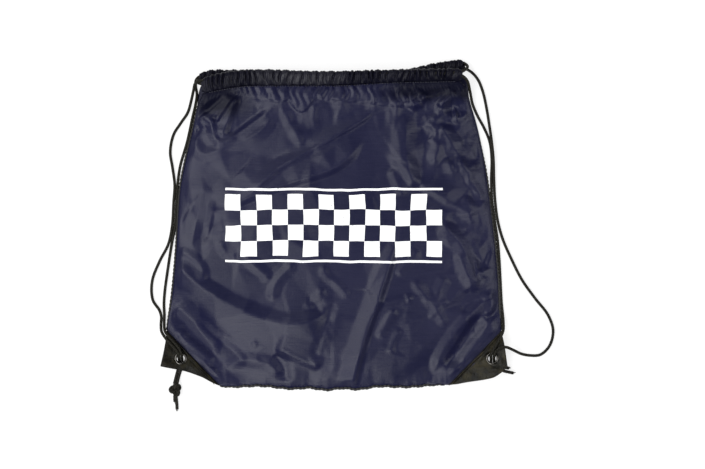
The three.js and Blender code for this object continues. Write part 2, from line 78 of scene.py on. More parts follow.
# Shares of the sides, from corner to mouth, as (along, inward); of the bottom seam, as (across, rise);
# and of the casings above the side seam's end, as (across, stitch, top).
LEFT_SIDE = [
    (0, 0), (0.077, 0.095), (0.168, 0.167), (0.278, 0.262), (0.425, 0.345), (0.608, 0.414),
    (0.663, 0.452), (0.791, 0.619), (0.883, 0.762), (0.956, 0.881), (1, 1),
]
RIGHT_SIDE = [
    (0, 0), (0.08, 0.0625), (0.126, 0.118), (0.3, 0.167), (0.44, 0.244), (0.58, 0.342),
    (0.702, 0.44), (0.789, 0.542), (0.866, 0.652), (0.929, 0.785), (0.97, 0.85), (1, 1),
]
BOTTOM_SEAM = [
    (0, 1), (0.03, 0.91), (0.07, 0.78), (0.115, 0.54), (0.17, 0.17), (0.3, 0.1), (0.5, 0),
    (0.68, 0.12), (0.83, 0.18), (0.89, 0.32), (0.955, 0.5), (0.985, 0.78), (1, 1),
]
FRONT_LINE = [
    (0, -0.003, 0.054), (0.12, 0.018, 0.078), (0.2, 0.025, 0.083), (0.5, 0.025, 0.077),
    (0.75, 0.037, 0.083), (1, 0.042, 0.087),
]
BACK_LINE = [
    (0, 0.028, 0.079), (0.06, 0.034, 0.086), (0.2, 0.034, 0.086), (0.5, 0.025, 0.076),
    (0.75, 0.034, 0.085), (0.85, 0.051, 0.101), (0.93, 0.066, 0.117), (1, 0.074, 0.126),
]
CASING_SECTION = [
    (0, 0), (0.4, 0), (0.84, 0.06), (1, 0.42), (0.93, 0.8), (0.7, 0.98), (0.42, 0.9), (0.16, 0.6), (0, 0.29),
]
LOFT_ALONG = [
    (0, 0), (0.05, 0.3), (0.13, 0.62), (0.28, 0.9), (0.5, 1), (0.7, 1), (0.84, 0.9), (0.93, 0.5), (1, 0),
]

# A crease's flanks are flat: how far each reaches for its width in the table, and how soft its foot is.
FLANK = 2.1
FOOT = 0.006
FOOT_AWAY = 1.4

# The creases of the front: rise in millimetres, how fast each falls off to the left and to the right
# of its way, how round its crest is, and then the points of its way, x and y in pixels of the photograph.
CREASES = [
    # the long crease from under the casing down across the middle
    (4.0, 2.2, 7, 0.3, 381, 106, 362, 121, 342, 133, 322, 145, 300, 157, 280, 169, 262, 184, 248, 197),
    # the broad band of sheen across the upper half, between a hollow and a ridge
    (-2.4, 9, 12, 1.5, 214, 152, 240, 152, 266, 156, 296, 154, 322, 142),
    (5.6, 4, 17, 0.8, 364, 138, 352, 154, 334, 168, 312, 176, 286, 184, 258, 194, 232, 203, 206, 210),
    (3.0, 12, 16, 3, 182, 192, 203, 190, 216, 200, 226, 214, 230, 230),
    (-2.6, 14, 12, 4, 184, 212, 200, 222, 214, 226),
    # the loops and facets of the upper left
        (2.8, 3, 4, 0.5, 213, 112, 212, 124, 214, 135, 219, 142, 227, 141, 237, 135, 250, 126, 264, 116,
     276, 105),
        (3.4, 5, 5, 0.7, 193, 120, 192, 136, 197, 148, 205, 155, 220, 151, 240, 144, 258, 134, 270, 121,
     279, 107),
    (4.2, 3, 16, 0.6, 240, 96, 231, 114, 226, 127, 221, 139),
    (-2.4, 5, 7, 1.5, 264, 106, 250, 117, 238, 130, 228, 137),
    (1.8, 4, 4, 0.6, 281, 107, 288, 119, 296, 134, 303, 147),
    (1.6, 3, 5, 0.8, 315, 104, 313, 116, 316, 130),
    (-5.0, 2.2, 11, 0.8, 241, 89, 230, 102, 218, 117, 213, 124),
    (-3.4, 2, 8, 0.8, 232, 88, 219, 100, 205, 112, 195, 118),
    (4.0, 4, 6, 1.2, 228, 89, 213, 99, 201, 108),
    (3.2, 4, 5, 0.8, 237, 97, 223, 110, 207, 120, 196, 126),
    # the streak and crumples of the upper right
    (3.8, 6, 9, 1.2, 402, 112, 406, 130, 405, 150, 409, 170, 413, 193),
    (-2.2, 6, 8, 2, 419, 122, 424, 145, 423, 168, 420, 186),
    (2.6, 4, 5, 0.8, 428, 120, 437, 138, 438, 152, 430, 165),
    (4.0, 7, 12, 0.8, 426, 112, 438, 124, 447, 137, 456, 152, 464, 166, 476, 182),
    (-3.0, 6, 6, 1.5, 424, 118, 433, 134, 444, 150, 452, 166),
    (2.2, 4, 6, 0.6, 446, 157, 454, 174, 461, 158),
    (3.2, 9, 5, 0.6, 384, 151, 398, 162, 413, 177, 430, 189, 447, 200, 466, 212, 480, 226),
    (2.0, 4, 4, 0.8, 392, 168, 396, 182, 404, 196),
    (4.2, 5, 8, 0.9, 438, 219, 450, 232, 460, 244, 468, 260, 474, 276, 480, 292),
    (-2.6, 8, 6, 2, 446, 216, 462, 226, 476, 236, 488, 240),
    (2.0, 4, 4, 0.7, 462, 196, 470, 205, 479, 208, 487, 200),
    (1.8, 3, 4, 0.7, 466, 176, 476, 188, 482, 200),
    # under the right half of the casing
    (-4.6, 3, 9, 1, 372, 89, 410, 88, 435, 86, 456, 84),
    (2.6, 3, 3, 0.6, 396, 86, 402, 95, 407, 103),
    (2.2, 3, 3, 0.6, 404, 85, 410, 94, 415, 100),
    (2.6, 3, 3, 0.6, 413, 86, 419, 94, 425, 101),
    (4.6, 4, 4, 0.7, 456, 88, 441, 92, 428, 97, 417, 104, 405, 107),
    (3.4, 2.6, 3, 0.5, 455, 91, 446, 100, 437, 108),
    (4.2, 5, 4, 0.7, 463, 84, 459, 95, 447, 101, 441, 108, 446, 116, 458, 118, 471, 114),
    (2.4, 3, 3, 0.8, 465, 82, 469, 97, 474, 112),
    # the strong light ridge of the lower middle
    (6.2, 3.4, 9, 0.6, 396, 240, 390, 262, 382, 286, 375, 308, 367, 330, 359, 356, 350, 392, 344, 416),
    (-2.4, 4, 4, 0.8, 334, 300, 327, 322, 320, 344, 315, 362),
    (1.6, 3, 4, 0.8, 330, 318, 324, 336, 317, 356),
    # the broad sheen of the lower left, and the hollows on both sides of it
    (6.6, 7, 20, 1.2, 160, 250, 180, 268, 205, 289, 235, 306, 262, 317, 290, 324, 318, 318, 336, 304),
    (2.6, 4, 8, 0.8, 196, 318, 212, 334, 232, 350, 248, 366),
    (-3.4, 9, 9, 3, 174, 304, 190, 322, 206, 340, 222, 350),
    (2.6, 4, 6, 1, 176, 330, 190, 342, 204, 354, 214, 366),
    (3.4, 12, 4, 0.8, 274, 348, 288, 353, 302, 359, 322, 368),
    (-2.4, 5, 6, 1.6, 276, 352, 284, 366, 286, 382),
    (2.0, 4, 5, 1, 222, 372, 236, 362, 256, 360, 272, 366, 284, 378),
    (2.2, 5, 4, 0.7, 238, 247, 248, 258, 260, 270, 272, 281),
    (2.6, 4, 4, 0.8, 296, 262, 286, 272, 276, 284, 272, 302),
    (2.0, 3, 4, 0.6, 322, 264, 328, 276, 340, 286, 350, 298),
    (1.8, 4, 3, 0.7, 326, 288, 316, 297, 306, 310),
    (1.8, 5, 4, 0.8, 220, 240, 226, 252, 238, 258),
    (2.2, 4, 5, 0.8, 176, 250, 190, 256, 202, 268, 205, 282),
    # the deep folds beside the two patches
    (-5.0, 2.6, 3.4, 0.6, 160, 330, 172, 345, 186, 357, 202, 369, 220, 383),
    (3.4, 2.2, 3, 0.5, 172, 340, 186, 351, 202, 363, 220, 377),
    # the crumples of the lower right
    (1.8, 3, 3, 0.5, 376, 302, 390, 301, 402, 299, 414, 297),
    (2.2, 4, 3, 0.7, 396, 308, 386, 322, 377, 338),
    (1.6, 3, 3, 0.6, 400, 328, 393, 342, 390, 354),
    (2.2, 4, 4, 0.7, 410, 279, 420, 289, 430, 301, 438, 313, 446, 328),
    (1.6, 3, 3, 0.6, 448, 298, 438, 308, 428, 318),
    (2.4, 5, 5, 1, 446, 276, 439, 290, 436, 306),
    (3.2, 5, 6, 0.8, 457, 252, 464, 268, 470, 282, 472, 294),
    (2.0, 4, 4, 0.7, 496, 252, 488, 264, 480, 278),
    (1.8, 4, 4, 0.8, 420, 250, 408, 262, 396, 276),
    (5.4, 5, 14, 1.6, 432, 376, 441, 356, 452, 337, 466, 320, 484, 302, 503, 287),
    (-5.0, 4, 6, 1.6, 446, 369, 458, 352, 470, 333, 482, 314),
    (3.2, 6, 8, 2.6, 452, 377, 462, 360, 474, 341, 488, 325, 500, 316),
    (-2.0, 2.5, 3, 0.7, 485, 319, 493, 315, 502, 310),
    (2.0, 4, 3, 0.6, 500, 298, 492, 306, 486, 316),
]

# The facets all over the front: their spacing, the lean of their rows, and how far they rise and fall
FACET_ACROSS = 21
FACET_ALONG = 34
FACET_LEAN = 0.3
FACET_RISE = 1.05
CRUMPLE_SHARE = 0.9
FACETS_X = (-245, 246)
FACETS_Y = (-230, 215)
FACET_SEED = 37
CRUMPLE_SEED = 11

# Patches of fine crumples: middle and spread in pixels, how many, their length and rise in millimetres,
# and the way that most of them take, in degrees
CRUMPLES = [
    ((204, 122), (9, 8), 16, 12, 1.2, 40),
    ((455, 124), (18, 14), 22, 16, 1.5, -60),
    ((466, 160), (14, 22), 14, 16, 1.2, -70),
    ((430, 150), (32, 34), 18, 22, 0.9, -75),
    ((472, 222), (16, 24), 18, 18, 1.0, -30),
    ((478, 262), (16, 26), 14, 20, 0.9, -60),
    ((418, 310), (34, 32), 18, 20, 0.6, 60),
    ((250, 365), (44, 12), 8, 18, 0.9, 30),
    ((300, 280), (52, 26), 6, 24, 0.8, 50),
    ((210, 250), (26, 40), 12, 24, 0.8, -50),
    ((250, 170), (50, 18), 12, 26, 0.5, 30),
    ((360, 360), (60, 16), 14, 22, 0.7, 70),
    ((430, 102), (26, 7), 18, 11, 1.2, -50),
]

# Smooth places without facets: middle and spread in pixels
CALM = [
    ((262, 290), (52, 17)),
    ((318, 122), (46, 13)),
    ((330, 222), (70, 10)),
]

# The lower edge of the gathered band under the casing, in pixels
HEM_EDGE = [
    (236, 95), (252, 97), (265, 100), (278, 104), (289, 101), (293, 107), (297, 112), (302, 113.5),
    (306, 112), (311, 105), (318, 98), (325, 101), (345, 102.5), (375, 105.5), (383, 107),
    (400, 108), (420, 107),
]

# The routes of the cords, from knot to knot, in millimetres. A point without a height lies on the surface.
CORD_LIES = 1.85
LEFT_ROUTE = [
    (-204.4, -209.6, 3.8), (-202, -199, 1.9), (-198.4, -187), (-198, -183), (-197.8, -179, 3.3),
    (-197.7, -173.2, 10.5), (-198.4, -169.2, 12.9), (-200.5, -163.5, 12.2), (-207.5, -155, 11.2),
    (-214.5, -147.5, 11.2), (-219.6, -140, 9.8), (-221, -131, 5.6), (-221.2, -120, 2.2), (-221.8, -106),
    (-220.8, -90), (-216.3, -57), (-211.4, -26), (-207.2, -4), (-205.2, 28),
    (-203.9, 50), (-200.6, 74), (-191.4, 106), (-184.4, 138), (-180.6, 154),
    (-178.8, 168), (-180.4, 178, 1.9), (-180, 186, 2.1), (-175.5, 190.6, 3.1), (-166, 191.3, 3.4),
    (-110, 193.4, 3.4), (0, 190.3, 3.4), (70, 192.2, 3.4), (118, 199.4, 3.4), (152, 206.6, 3.4),
    (168.8, 208, 3.6), (172.8, 205.2, 7.6), (172.5, 200.8, 14.6), (163, 195.4, 19.8), (90, 194.2, 19.8),
    (-10, 190.6, 19.8), (-100, 191.7, 19.8), (-158, 184, 19.8), (-168, 183.8, 20), (-175, 183.2, 21.4),
    (-179.4, 179.6, 20), (-181.8, 173, 14), (-185.4, 160, 7.6), (-190.6, 144, 3), (-200, 130),
    (-209.3, 115), (-213.6, 93), (-210.6, 72), (-207.8, 50), (-209.1, 28),
    (-211.2, -5), (-216.2, -28), (-227.5, -50), (-237.2, -76), (-236.4, -100),
    (-227.6, -114), (-225.2, -122, 2.4), (-225.2, -132, 5.8), (-223.8, -141, 10.2), (-218, -150, 11.9),
    (-211, -158, 12), (-205.2, -164.5, 12.6), (-202, -169.2, 13.5), (-201.6, -173.2, 11.4),
    (-201.6, -178, 4.5), (-201.6, -181.4, 2.1), (-202.6, -187), (-205.7, -199, 1.9), (-208.2, -209.6, 3.8),
]
RIGHT_ROUTE = [
    (205.6, -183.6, 3.6), (204.6, -181.8, 4), (204.3, -179.6, 6.1), (203.6, -173.6, 12.9), (204, -170, 15.2),
    (206.6, -164.5, 15.2), (211.4, -156, 13.9), (216, -148, 13.2), (219.6, -139.6, 11.4), (220.4, -130, 6.6),
    (219.8, -118, 2.2), (218.4, -104), (216.8, -74), (215.4, -48), (213.2, -22),
    (209.2, 4), (205.9, 30), (205, 56), (205.6, 84), (202.9, 106),
    (195.6, 124), (187.2, 139.4, 2), (180.4, 155, 4.6), (176.4, 172, 10.4), (172.4, 184.4, 16.4),
    (163, 191.2, 19.6), (90, 190.2, 19.6), (-10, 186.4, 19.6), (-100, 187.5, 19.6), (-158, 179.6, 19.6),
    (-169, 179.4, 19.5), (-175.6, 181.2, 16.4), (-177.4, 184, 10.8), (-176.4, 186.4, 5.4), (-170, 187, 3.3),
    (-110, 189.2, 3.1), (0, 186.1, 3.1), (70, 188, 3.1), (118, 195.2, 3.1), (150, 201.6, 3.1),
    (166, 202.6, 3.2), (178, 197.4, 3), (187.4, 187.2, 2.2), (193.8, 172), (198.8, 150),
    (202.6, 126, 2.6), (205.2, 106, 5.6), (207.4, 84, 5.7), (208.4, 56, 3.4), (209.9, 30),
    (213.2, 4), (219.6, -20), (230.8, -46), (245, -74), (262, -98),
    (279, -120), (285.6, -140), (281, -160), (269, -171.6), (255, -172.6, 1.9),
    (244, -170.4, 3.4), (236, -166.6, 7.4), (229.6, -163.4, 12), (223.6, -161, 15.6), (217, -160.8, 16.4),
    (211.4, -164.4, 16), (208.2, -169.4, 16), (207.6, -173.6, 12.9), (208.3, -179.6, 6.4), (208.6, -181.2, 5),
]
LEFT_KNOT = (-206.3, -217.2, 4.9)
LEFT_TAILS = [
    [(-206.0, -219, 4), (-205.7, -228, 2.4), (-205.0, -236), (-204.7, -243)],
    [(-207.0, -219, 4), (-207.7, -226.5, 2.4), (-207.5, -233)],
]
RIGHT_KNOT = (213.6, -188.4, 4.6)
RIGHT_TAILS = [
    [(215, -188, 3.6), (222, -188.4, 2.2), (228.2, -189.2)],
    [(215, -190, 3.6), (222, -193, 2.2), (229, -194.6), (234, -195.7)],
]


def abreast(*parts):
    """Columns of numbers side by side: x, y and z as points."""
    return np.stack([np.ravel(part) for part in parts], axis=1)


def from_pixels(points):
    """Pixels of the photograph as places on the sack, in millimetres."""
    p = np.reshape(np.array(points, float), (-1, 2))
    return abreast((p[:, 0] - ORIGIN_PIXEL[0]) * PIXEL, (ORIGIN_PIXEL[1] - p[:, 1]) * PIXEL)


def scattered(r, middle, spread, share):
    """A random place near a middle, both it and the spread in pixels."""
    return from_pixels(middle)[0] + r.normal(0, share, 2) * np.array(spread) * PIXEL


def laid(points):
    """The points of a cord's way, each with a height."""
    return [point if len(point) == 3 else (*point, CORD_LIES) for point in points]


def show(thing):
    bpy.context.scene.collection.objects.link(thing)


def smoothstep(low, high, value):
    t = np.clip((value - low) / (high - low), 0, 1)
    return t * t * (3 - 2 * t)


def smooth_table(rows, column=1):
    """A smooth function through a table's rows that never overshoots them."""
    xs = np.array([r[0] for r in rows], float)
    ys = np.array([r[column] for r in rows], float)
    steps = np.diff(ys) / np.diff(xs)
    slopes = np.zeros(len(xs))
    slopes[0], slopes[-1] = steps[0], steps[-1]
    same_way = steps[:-1] * steps[1:] > 0
    slopes[1:-1][same_way] = 2 / (1 / steps[:-1][same_way] + 1 / steps[1:][same_way])

    def look_up(place):
        p = np.clip(place, xs[0], xs[-1])
        i = np.clip(np.searchsorted(xs, p, side="right") - 1, 0, len(xs) - 2)
        wide = xs[i + 1] - xs[i]
        t = (p - xs[i]) / wide
        a = (1 + 2 * t) * (1 - t) ** 2 * ys[i] + t * (1 - t) ** 2 * wide * slopes[i]
        return a + t * t * (3 - 2 * t) * ys[i + 1] + t * t * (t - 1) * wide * slopes[i + 1]

    return look_up


def lengths_along(line):
    """How far along a line each of its points is."""
    return np.concatenate([[0], np.cumsum(np.linalg.norm(np.diff(line, axis=0), axis=1))])


def blend(a, b, start, end, t):
    return (end - t) / (end - start) * a + (t - start) / (end - start) * b


def catmull_rom(points, step):
    """A smooth curve through points, with places about step apart."""
    p = np.array(points, float)
    p = np.vstack([2 * p[0] - p[1], p, 2 * p[-1] - p[-2]])
    knots = np.concatenate([[0], np.cumsum(np.linalg.norm(np.diff(p, axis=0), axis=1) ** 0.5)])
    out = []
    for i in range(1, len(p) - 2):
        t0, t1, t2, t3 = knots[i - 1 : i + 3]
        count = max(2, math.ceil(np.linalg.norm(p[i + 1] - p[i]) / (step * 0.25)))
        t = np.linspace(t1, t2, count, endpoint=False)[:, None]
        a1 = blend(p[i - 1], p[i], t0, t1, t)
        a2 = blend(p[i], p[i + 1], t1, t2, t)
        a3 = blend(p[i + 1], p[i + 2], t2, t3, t)
        out.append(blend(blend(a1, a2, t0, t2, t), blend(a2, a3, t1, t3, t), t1, t2, t))
    fine = np.vstack([*out, p[-2:-1]])
    along = lengths_along(fine)
    at = np.linspace(0, along[-1], max(2, round(along[-1] / step) + 1))
    return abreast(*[np.interp(at, along, fine[:, k]) for k in range(p.shape[1])])


left_inward = smooth_table(LEFT_SIDE)
right_inward = smooth_table(RIGHT_SIDE)
seam_rise = smooth_table(BOTTOM_SEAM)
loft_share = smooth_table(LOFT_ALONG)


def left_edge(v):
    return -HALF_WIDTH + left_inward(v) * (HALF_WIDTH - MOUTH_LEFT), -CORNER_DROP + v * SIDE_HEIGHT


def right_edge(v):
    return HALF_WIDTH - right_inward(v) * (HALF_WIDTH - MOUTH_RIGHT), -CORNER_DROP + v * SIDE_HEIGHT


def bottom_edge(u):
    return -HALF_WIDTH + u * BAG_WIDTH, -CORNER_DROP - SEAM_SAG * (1 - seam_rise(u))


def casing_line(line, column, u):
    return MOUTH_Y + smooth_table(line, column)(u) * SIDE_HEIGHT


def cloth_point(u, v, line, spread):
    """A point of the sack's outline grid: u runs from left to right, v from the bottom seam to the mouth."""
    left, _ = left_edge(v)
    right, _ = right_edge(v)
    _, bottom = bottom_edge(u)
    plain_top = casing_line(FRONT_LINE, 1, u)
    shift = (casing_line(line, 1, u) - plain_top) * smoothstep(OPENING_FROM, 1, v)
    x = left + (right - left) * u + spread * (2 * u - 1) * smoothstep(0.93, 1, v)
    y = bottom + (plain_top - LAYER_GAP - bottom) * v + shift
    return x, y


class Corner:
    """A lower corner: its patch's long edge, its eyelet and the slope that it lies on."""

    def __init__(self, side, lift, eyelet_in):
        self.side = side
        self.name = "left" if side < 0 else "right"
        self.upper = np.array(self.on_side(1), float)
        self.lower = np.array(self.on_seam(1), float)
        way = self.lower - self.upper
        length = np.hypot(*way)
        self.normal = np.array([-side * way[1], side * way[0]]) / length
        self.eyelet = np.array([side * (HALF_WIDTH - eyelet_in), -CORNER_DROP + EYELET_UP])
        self.slope = lift / (self.beyond(*self.eyelet) + LIFT_REACH)

    def on_side(self, share):
        """The point at a share of the patch's reach up the side."""
        edge = left_edge if self.side < 0 else right_edge
        return edge(PATCH_ALONG_SIDE / SIDE_HEIGHT * share)

    def on_seam(self, share):
        """The point at a share of the patch's reach along the bottom seam."""
        across = PATCH_ALONG_SEAM / BAG_WIDTH * share
        return bottom_edge(across if self.side < 0 else 1 - across)

    def beyond(self, x, y):
        """How far a point is past the patch's long edge, towards the corner."""
        return (x - self.upper[0]) * self.normal[0] + (y - self.upper[1]) * self.normal[1]

    def height(self, x, y):
        return self.slope * (self.beyond(x, y) + LIFT_REACH)

    def up(self):
        return Vector((-self.slope * self.normal[0], -self.slope * self.normal[1], 1)).normalized()


CORNERS = [Corner(-1, 6.1, 25.4), Corner(1, 8.4, 19)]


def back_under(x, y):
    return np.maximum(0, np.maximum(CORNERS[0].height(x, y), CORNERS[1].height(x, y)))


def crease_relief(x, y, way, rise, left, right, crest, tail=0.16, open_start=False):
    """The height that one crease adds at each point: a sharp or round crest that falls off to both sides."""
    relief = np.zeros(x.shape)
    reach = 4.5 * max(left, right)
    low, high = way.min(axis=0) - reach, way.max(axis=0) + reach
    near = (x > low[0]) & (x < high[0]) & (y > low[1]) & (y < high[1])
    if not near.any():
        return relief
    px, py = x[near], y[near]
    best = np.full(px.shape, np.inf)
    side = np.ones(px.shape)
    place = np.zeros(px.shape)
    lengths = np.linalg.norm(np.diff(way, axis=0), axis=1)
    along = np.concatenate([[0], np.cumsum(lengths)]) / lengths.sum()
    for i in range(len(way) - 1):
        dx, dy = way[i + 1] - way[i]
        t = np.clip(((px - way[i, 0]) * dx + (py - way[i, 1]) * dy) / (dx * dx + dy * dy), 0, 1)
        ox, oy = px - way[i, 0] - t * dx, py - way[i, 1] - t * dy
        away = ox * ox + oy * oy
        nearer = away < best
        best = np.where(nearer, away, best)
        side = np.where(nearer, dx * oy - dy * ox, side)
        place = np.where(nearer, along[i] + t * (along[i + 1] - along[i]), place)
    away = np.sqrt(best)
    fade = smoothstep(0, tail, 1 - place)
    if not open_start:
        fade = fade * smoothstep(0, tail, place)
    width = FLANK * np.where(side > 0, left, right) * (0.5 + 0.5 * fade)
    share = 1 - (np.sqrt(away**2 + crest**2) - crest) / width
    foot = 0.5 * (share + np.sqrt(share**2 + FOOT)) - 0.5 * (np.sqrt(FOOT_AWAY**2 + FOOT) - FOOT_AWAY)
    relief[near] = rise * fade * np.maximum(foot, 0)
    return relief


PLEATS = 400


def pleat_wave(x, seed, narrow, wide):
    """Pleats of uneven width side by side: 1 on each crest and 0 in the sharp hollows between."""
    r = np.random.default_rng(seed)
    edges = np.concatenate([[x.min() - wide], x.min() + np.cumsum(r.uniform(narrow, wide, PLEATS))])
    heights = r.uniform(0.45, 1, PLEATS + 1)
    i = np.clip(np.searchsorted(edges, x, side="right") - 1, 0, PLEATS - 1)
    t = (x - edges[i]) / (edges[i + 1] - edges[i])
    return heights[i] * np.sin(np.pi * np.clip(t, 0, 1)) ** 0.75


def all_creases(x, y):
    relief = np.zeros(x.shape)
    for rise, left, right, crest, *path in CREASES:
        relief += crease_relief(x, y, catmull_rom(from_pixels(path), 6), rise, left, right, crest)
    r = np.random.default_rng(CRUMPLE_SEED)
    for middle, spread, count, length, tall, main_way in CRUMPLES:
        for _ in range(count // 3):
            start = scattered(r, middle, spread, 0.6)
            way = math.radians(main_way + r.normal(0, 38))
            bend = r.uniform(-0.5, 0.5)
            half = length * r.uniform(0.5, 1.3) / 2
            ends = [
                start + half * np.array([s * math.cos(way + s * bend), s * math.sin(way + s * bend)])
                for s in (-1, 1)
            ]
            points = catmull_rom([ends[0], start, ends[1]], 4)
            rise = tall * r.uniform(0.4, 1.1) * r.choice([1, 1, -0.7])
            relief += crease_relief(x, y, points, rise, r.uniform(3, 8), r.uniform(3, 8), 0.4, 0.4)
    return relief


def facet_relief(x, y):
    """Crumpled cloth: flat facets between random points, finer where the cloth is most creased."""
    r = np.random.default_rng(FACET_SEED)
    points, heights = [], []
    for row, base_y in enumerate(np.arange(*FACETS_Y, FACET_ALONG)):
        for base_x in np.arange(*FACETS_X, FACET_ACROSS):
            jitter = r.uniform(-0.42, 0.42, 2) * (FACET_ACROSS, FACET_ALONG)
            points.append((base_x + FACET_LEAN * base_y % FACET_ACROSS + jitter[0], base_y + jitter[1]))
            heights.append(r.normal(0, FACET_RISE))
    for middle, spread, count, _, tall, _ in CRUMPLES:
        for _ in range(count):
            points.append(tuple(scattered(r, middle, spread, 0.75)))
            heights.append(r.normal(0, tall * CRUMPLE_SHARE))
    corners = [Vector(p) for p in points]
    made, _, triangles, *_ = delaunay_2d_cdt(corners, [], [], 0, 0.01)
    known = np.array(points)
    relief = np.zeros(x.shape)
    for triangle in triangles:
        (ax, ay), (bx, by), (cx, cy) = [made[i] for i in triangle]
        near = (x >= min(ax, bx, cx)) & (x <= max(ax, bx, cx))
        near &= (y >= min(ay, by, cy)) & (y <= max(ay, by, cy))
        if not near.any():
            continue
        area = (bx - ax) * (cy - ay) - (cx - ax) * (by - ay)
        px, py = x[near], y[near]
        share_b = ((px - ax) * (cy - ay) - (cx - ax) * (py - ay)) / area
        share_c = ((bx - ax) * (py - ay) - (px - ax) * (by - ay)) / area
        share_a = 1 - share_b - share_c
        inside = (share_a >= -1e-9) & (share_b >= -1e-9) & (share_c >= -1e-9)
        nearest = [np.argmin(((known - np.array(made[i])) ** 2).sum(axis=1)) for i in triangle]
        za, zb, zc = [heights[i] for i in nearest]
        held = relief[near]
        held[inside] = (share_a * za + share_b * zb + share_c * zc)[inside]
        relief[near] = held
    return relief


def calmed(x, y):
    """1 where the facets show and nearly 0 in the smooth places."""
    share = np.ones(x.shape)
    for middle, (wide, tall) in CALM:
        middle_x, middle_y = from_pixels(middle)[0]
        away = ((x - middle_x) / (wide * PIXEL)) ** 2 + ((y - middle_y) / (tall * PIXEL)) ** 2
        share *= 1 - 0.85 * np.exp(-away)
    return share


BAND_RISE = 1.6
PLEAT_RISE = 3.5
TONGUE_RISE = 1.9
TONGUE_MIDDLE = -42
TONGUE_WIDTH = 16


def hem_relief(x, y, u):
    """The gathered band under the front casing: it stands over the cloth below, pleated and pinched."""
    stitch = casing_line(FRONT_LINE, 1, u)
    edge = from_pixels(HEM_EDGE)
    low = np.interp(x, edge[:, 0], edge[:, 1])
    first, last = edge[0, 0], edge[-1, 0]
    shown = smoothstep(first - 6, first + 18, x) * (1 - smoothstep(last - 20, last + 4, x))
    inside = smoothstep(-0.6, 1.6, y - low)
    share = np.clip((y - low) / np.maximum(stitch - low, 1), 0, 1)
    swell = inside * (1 - 0.45 * share)
    pleats = pleat_wave(x + 3 * np.sin(0.21 * y + 0.05 * x), 5, 3.5, 17)
    fine = pleat_wave(x + 1.5 * np.sin(0.4 * y), 8, 2.5, 5)
    tongue = np.exp(-(((x - TONGUE_MIDDLE) / TONGUE_WIDTH) ** 2))
    swelled = (BAND_RISE + TONGUE_RISE * tongue) * swell
    relief = shown * (swelled + PLEAT_RISE * inside * (pleats - 0.4) * (0.6 + 0.4 * share))
    relief += 1.8 * (1 - smoothstep(3, 20, stitch - y)) * (fine - 0.4)
    return relief - 0.7 * np.exp(-np.maximum(stitch - y, 0) / 2)


GATHERS = 34
GATHER_SEED = 23
GATHERED_SPAN = (-125, 140)


def gather_relief(x, y):
    """Creases that run down from the gathered band and fade out."""
    relief = np.zeros(x.shape)
    edge = from_pixels(HEM_EDGE)
    r = np.random.default_rng(GATHER_SEED)
    for _ in range(GATHERS):
        start_x = r.uniform(*GATHERED_SPAN)
        start_y = np.interp(start_x, edge[:, 0], edge[:, 1]) + 2
        lean = math.radians(-90 + r.normal(0, 14) + 0.12 * start_x)
        length = r.uniform(14, 52)
        end = (start_x + length * math.cos(lean), start_y + length * math.sin(lean))
        way = np.array([(start_x, start_y), end])
        rise = r.uniform(0.5, 1.5) * r.choice([1, 1, -0.8])
        relief += crease_relief(x, y, way, rise, r.uniform(2, 6), r.uniform(2, 6), 0.6, 0.8, open_start=True)
    return relief


EASE = 12
PATCH_EASE = 9
SEAM_ROLL = 1.2
PUCKER_RISE = 0.8
DEEPEST = 0.35


def front_height(u, v, x, y):
    """The upper side of the front, in millimetres above the surface that the sack lies on."""
    across = np.sqrt(np.sin(np.pi * np.clip(u, 0, 1)))
    beyond = np.maximum(CORNERS[0].beyond(x, y), CORNERS[1].beyond(x, y))
    free = smoothstep(CORNER_FLAT, CORNER_FLAT + CORNER_EASE, -beyond)
    full = LOFT * across * loft_share(v)
    opening = MOUTH_HEIGHT * smoothstep(OPENING_FROM, 1, v)
    from_side = np.minimum(u, 1 - u) * BAG_WIDTH * 0.9
    from_seam = v * SIDE_HEIGHT
    ease = smoothstep(0, EASE, from_side) * smoothstep(0, EASE, from_seam)
    ease = ease * smoothstep(0, PATCH_EASE, -beyond)
    ease = ease * smoothstep(0, EASE, casing_line(FRONT_LINE, 1, u) - y)
    puckers = pleat_wave(x, 31, 5, 12) * np.exp(-from_seam / 7) * smoothstep(0, 3, from_seam)
    crumpled = all_creases(x, y) + calmed(x, y) * facet_relief(x, y)
    relief = ease * (crumpled + gather_relief(x, y)) + hem_relief(x, y, u)
    seam_roll = SEAM_ROLL * (1 - np.exp(-np.minimum(from_side, from_seam) / 2.5))
    rolled = seam_roll * smoothstep(0, 10, -beyond) + PUCKER_RISE * puckers
    height = FRONT_TOP + opening + free * full + relief + rolled
    return back_under(x, y) + np.maximum(height, FRONT_TOP - DEEPEST)


def grid_faces(columns, rows):
    a = (np.arange(rows - 1)[:, None] * columns + np.arange(columns - 1)[None, :]).ravel()
    return abreast(a, a + 1, a + columns + 1, a + columns)


def new_piece(name, points, faces, look, node):
    """A smooth mesh of points in millimetres on the one body, standing for its CAD node, if it has one."""
    mesh = bpy.data.meshes.new(name)
    mesh.from_pydata((np.asarray(points, float) * MM).tolist(), [], [list(map(int, f)) for f in faces])
    mesh.polygons.foreach_set("use_smooth", [True] * len(mesh.polygons))
    mesh.validate()
    piece = bpy.data.objects.new(name, mesh)
    show(piece)
    mesh.materials.append(materials[look])
    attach(piece, "root")
    if node:
        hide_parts(node)
    return piece


def thicken(piece, wall):
    """Gives a surface its wall, downwards or inwards from where it is."""
    modifier = piece.modifiers.new("wall", "SOLIDIFY")
    modifier.thickness = wall * MM
    modifier.offset = -1
    modifier.use_even_offset = False


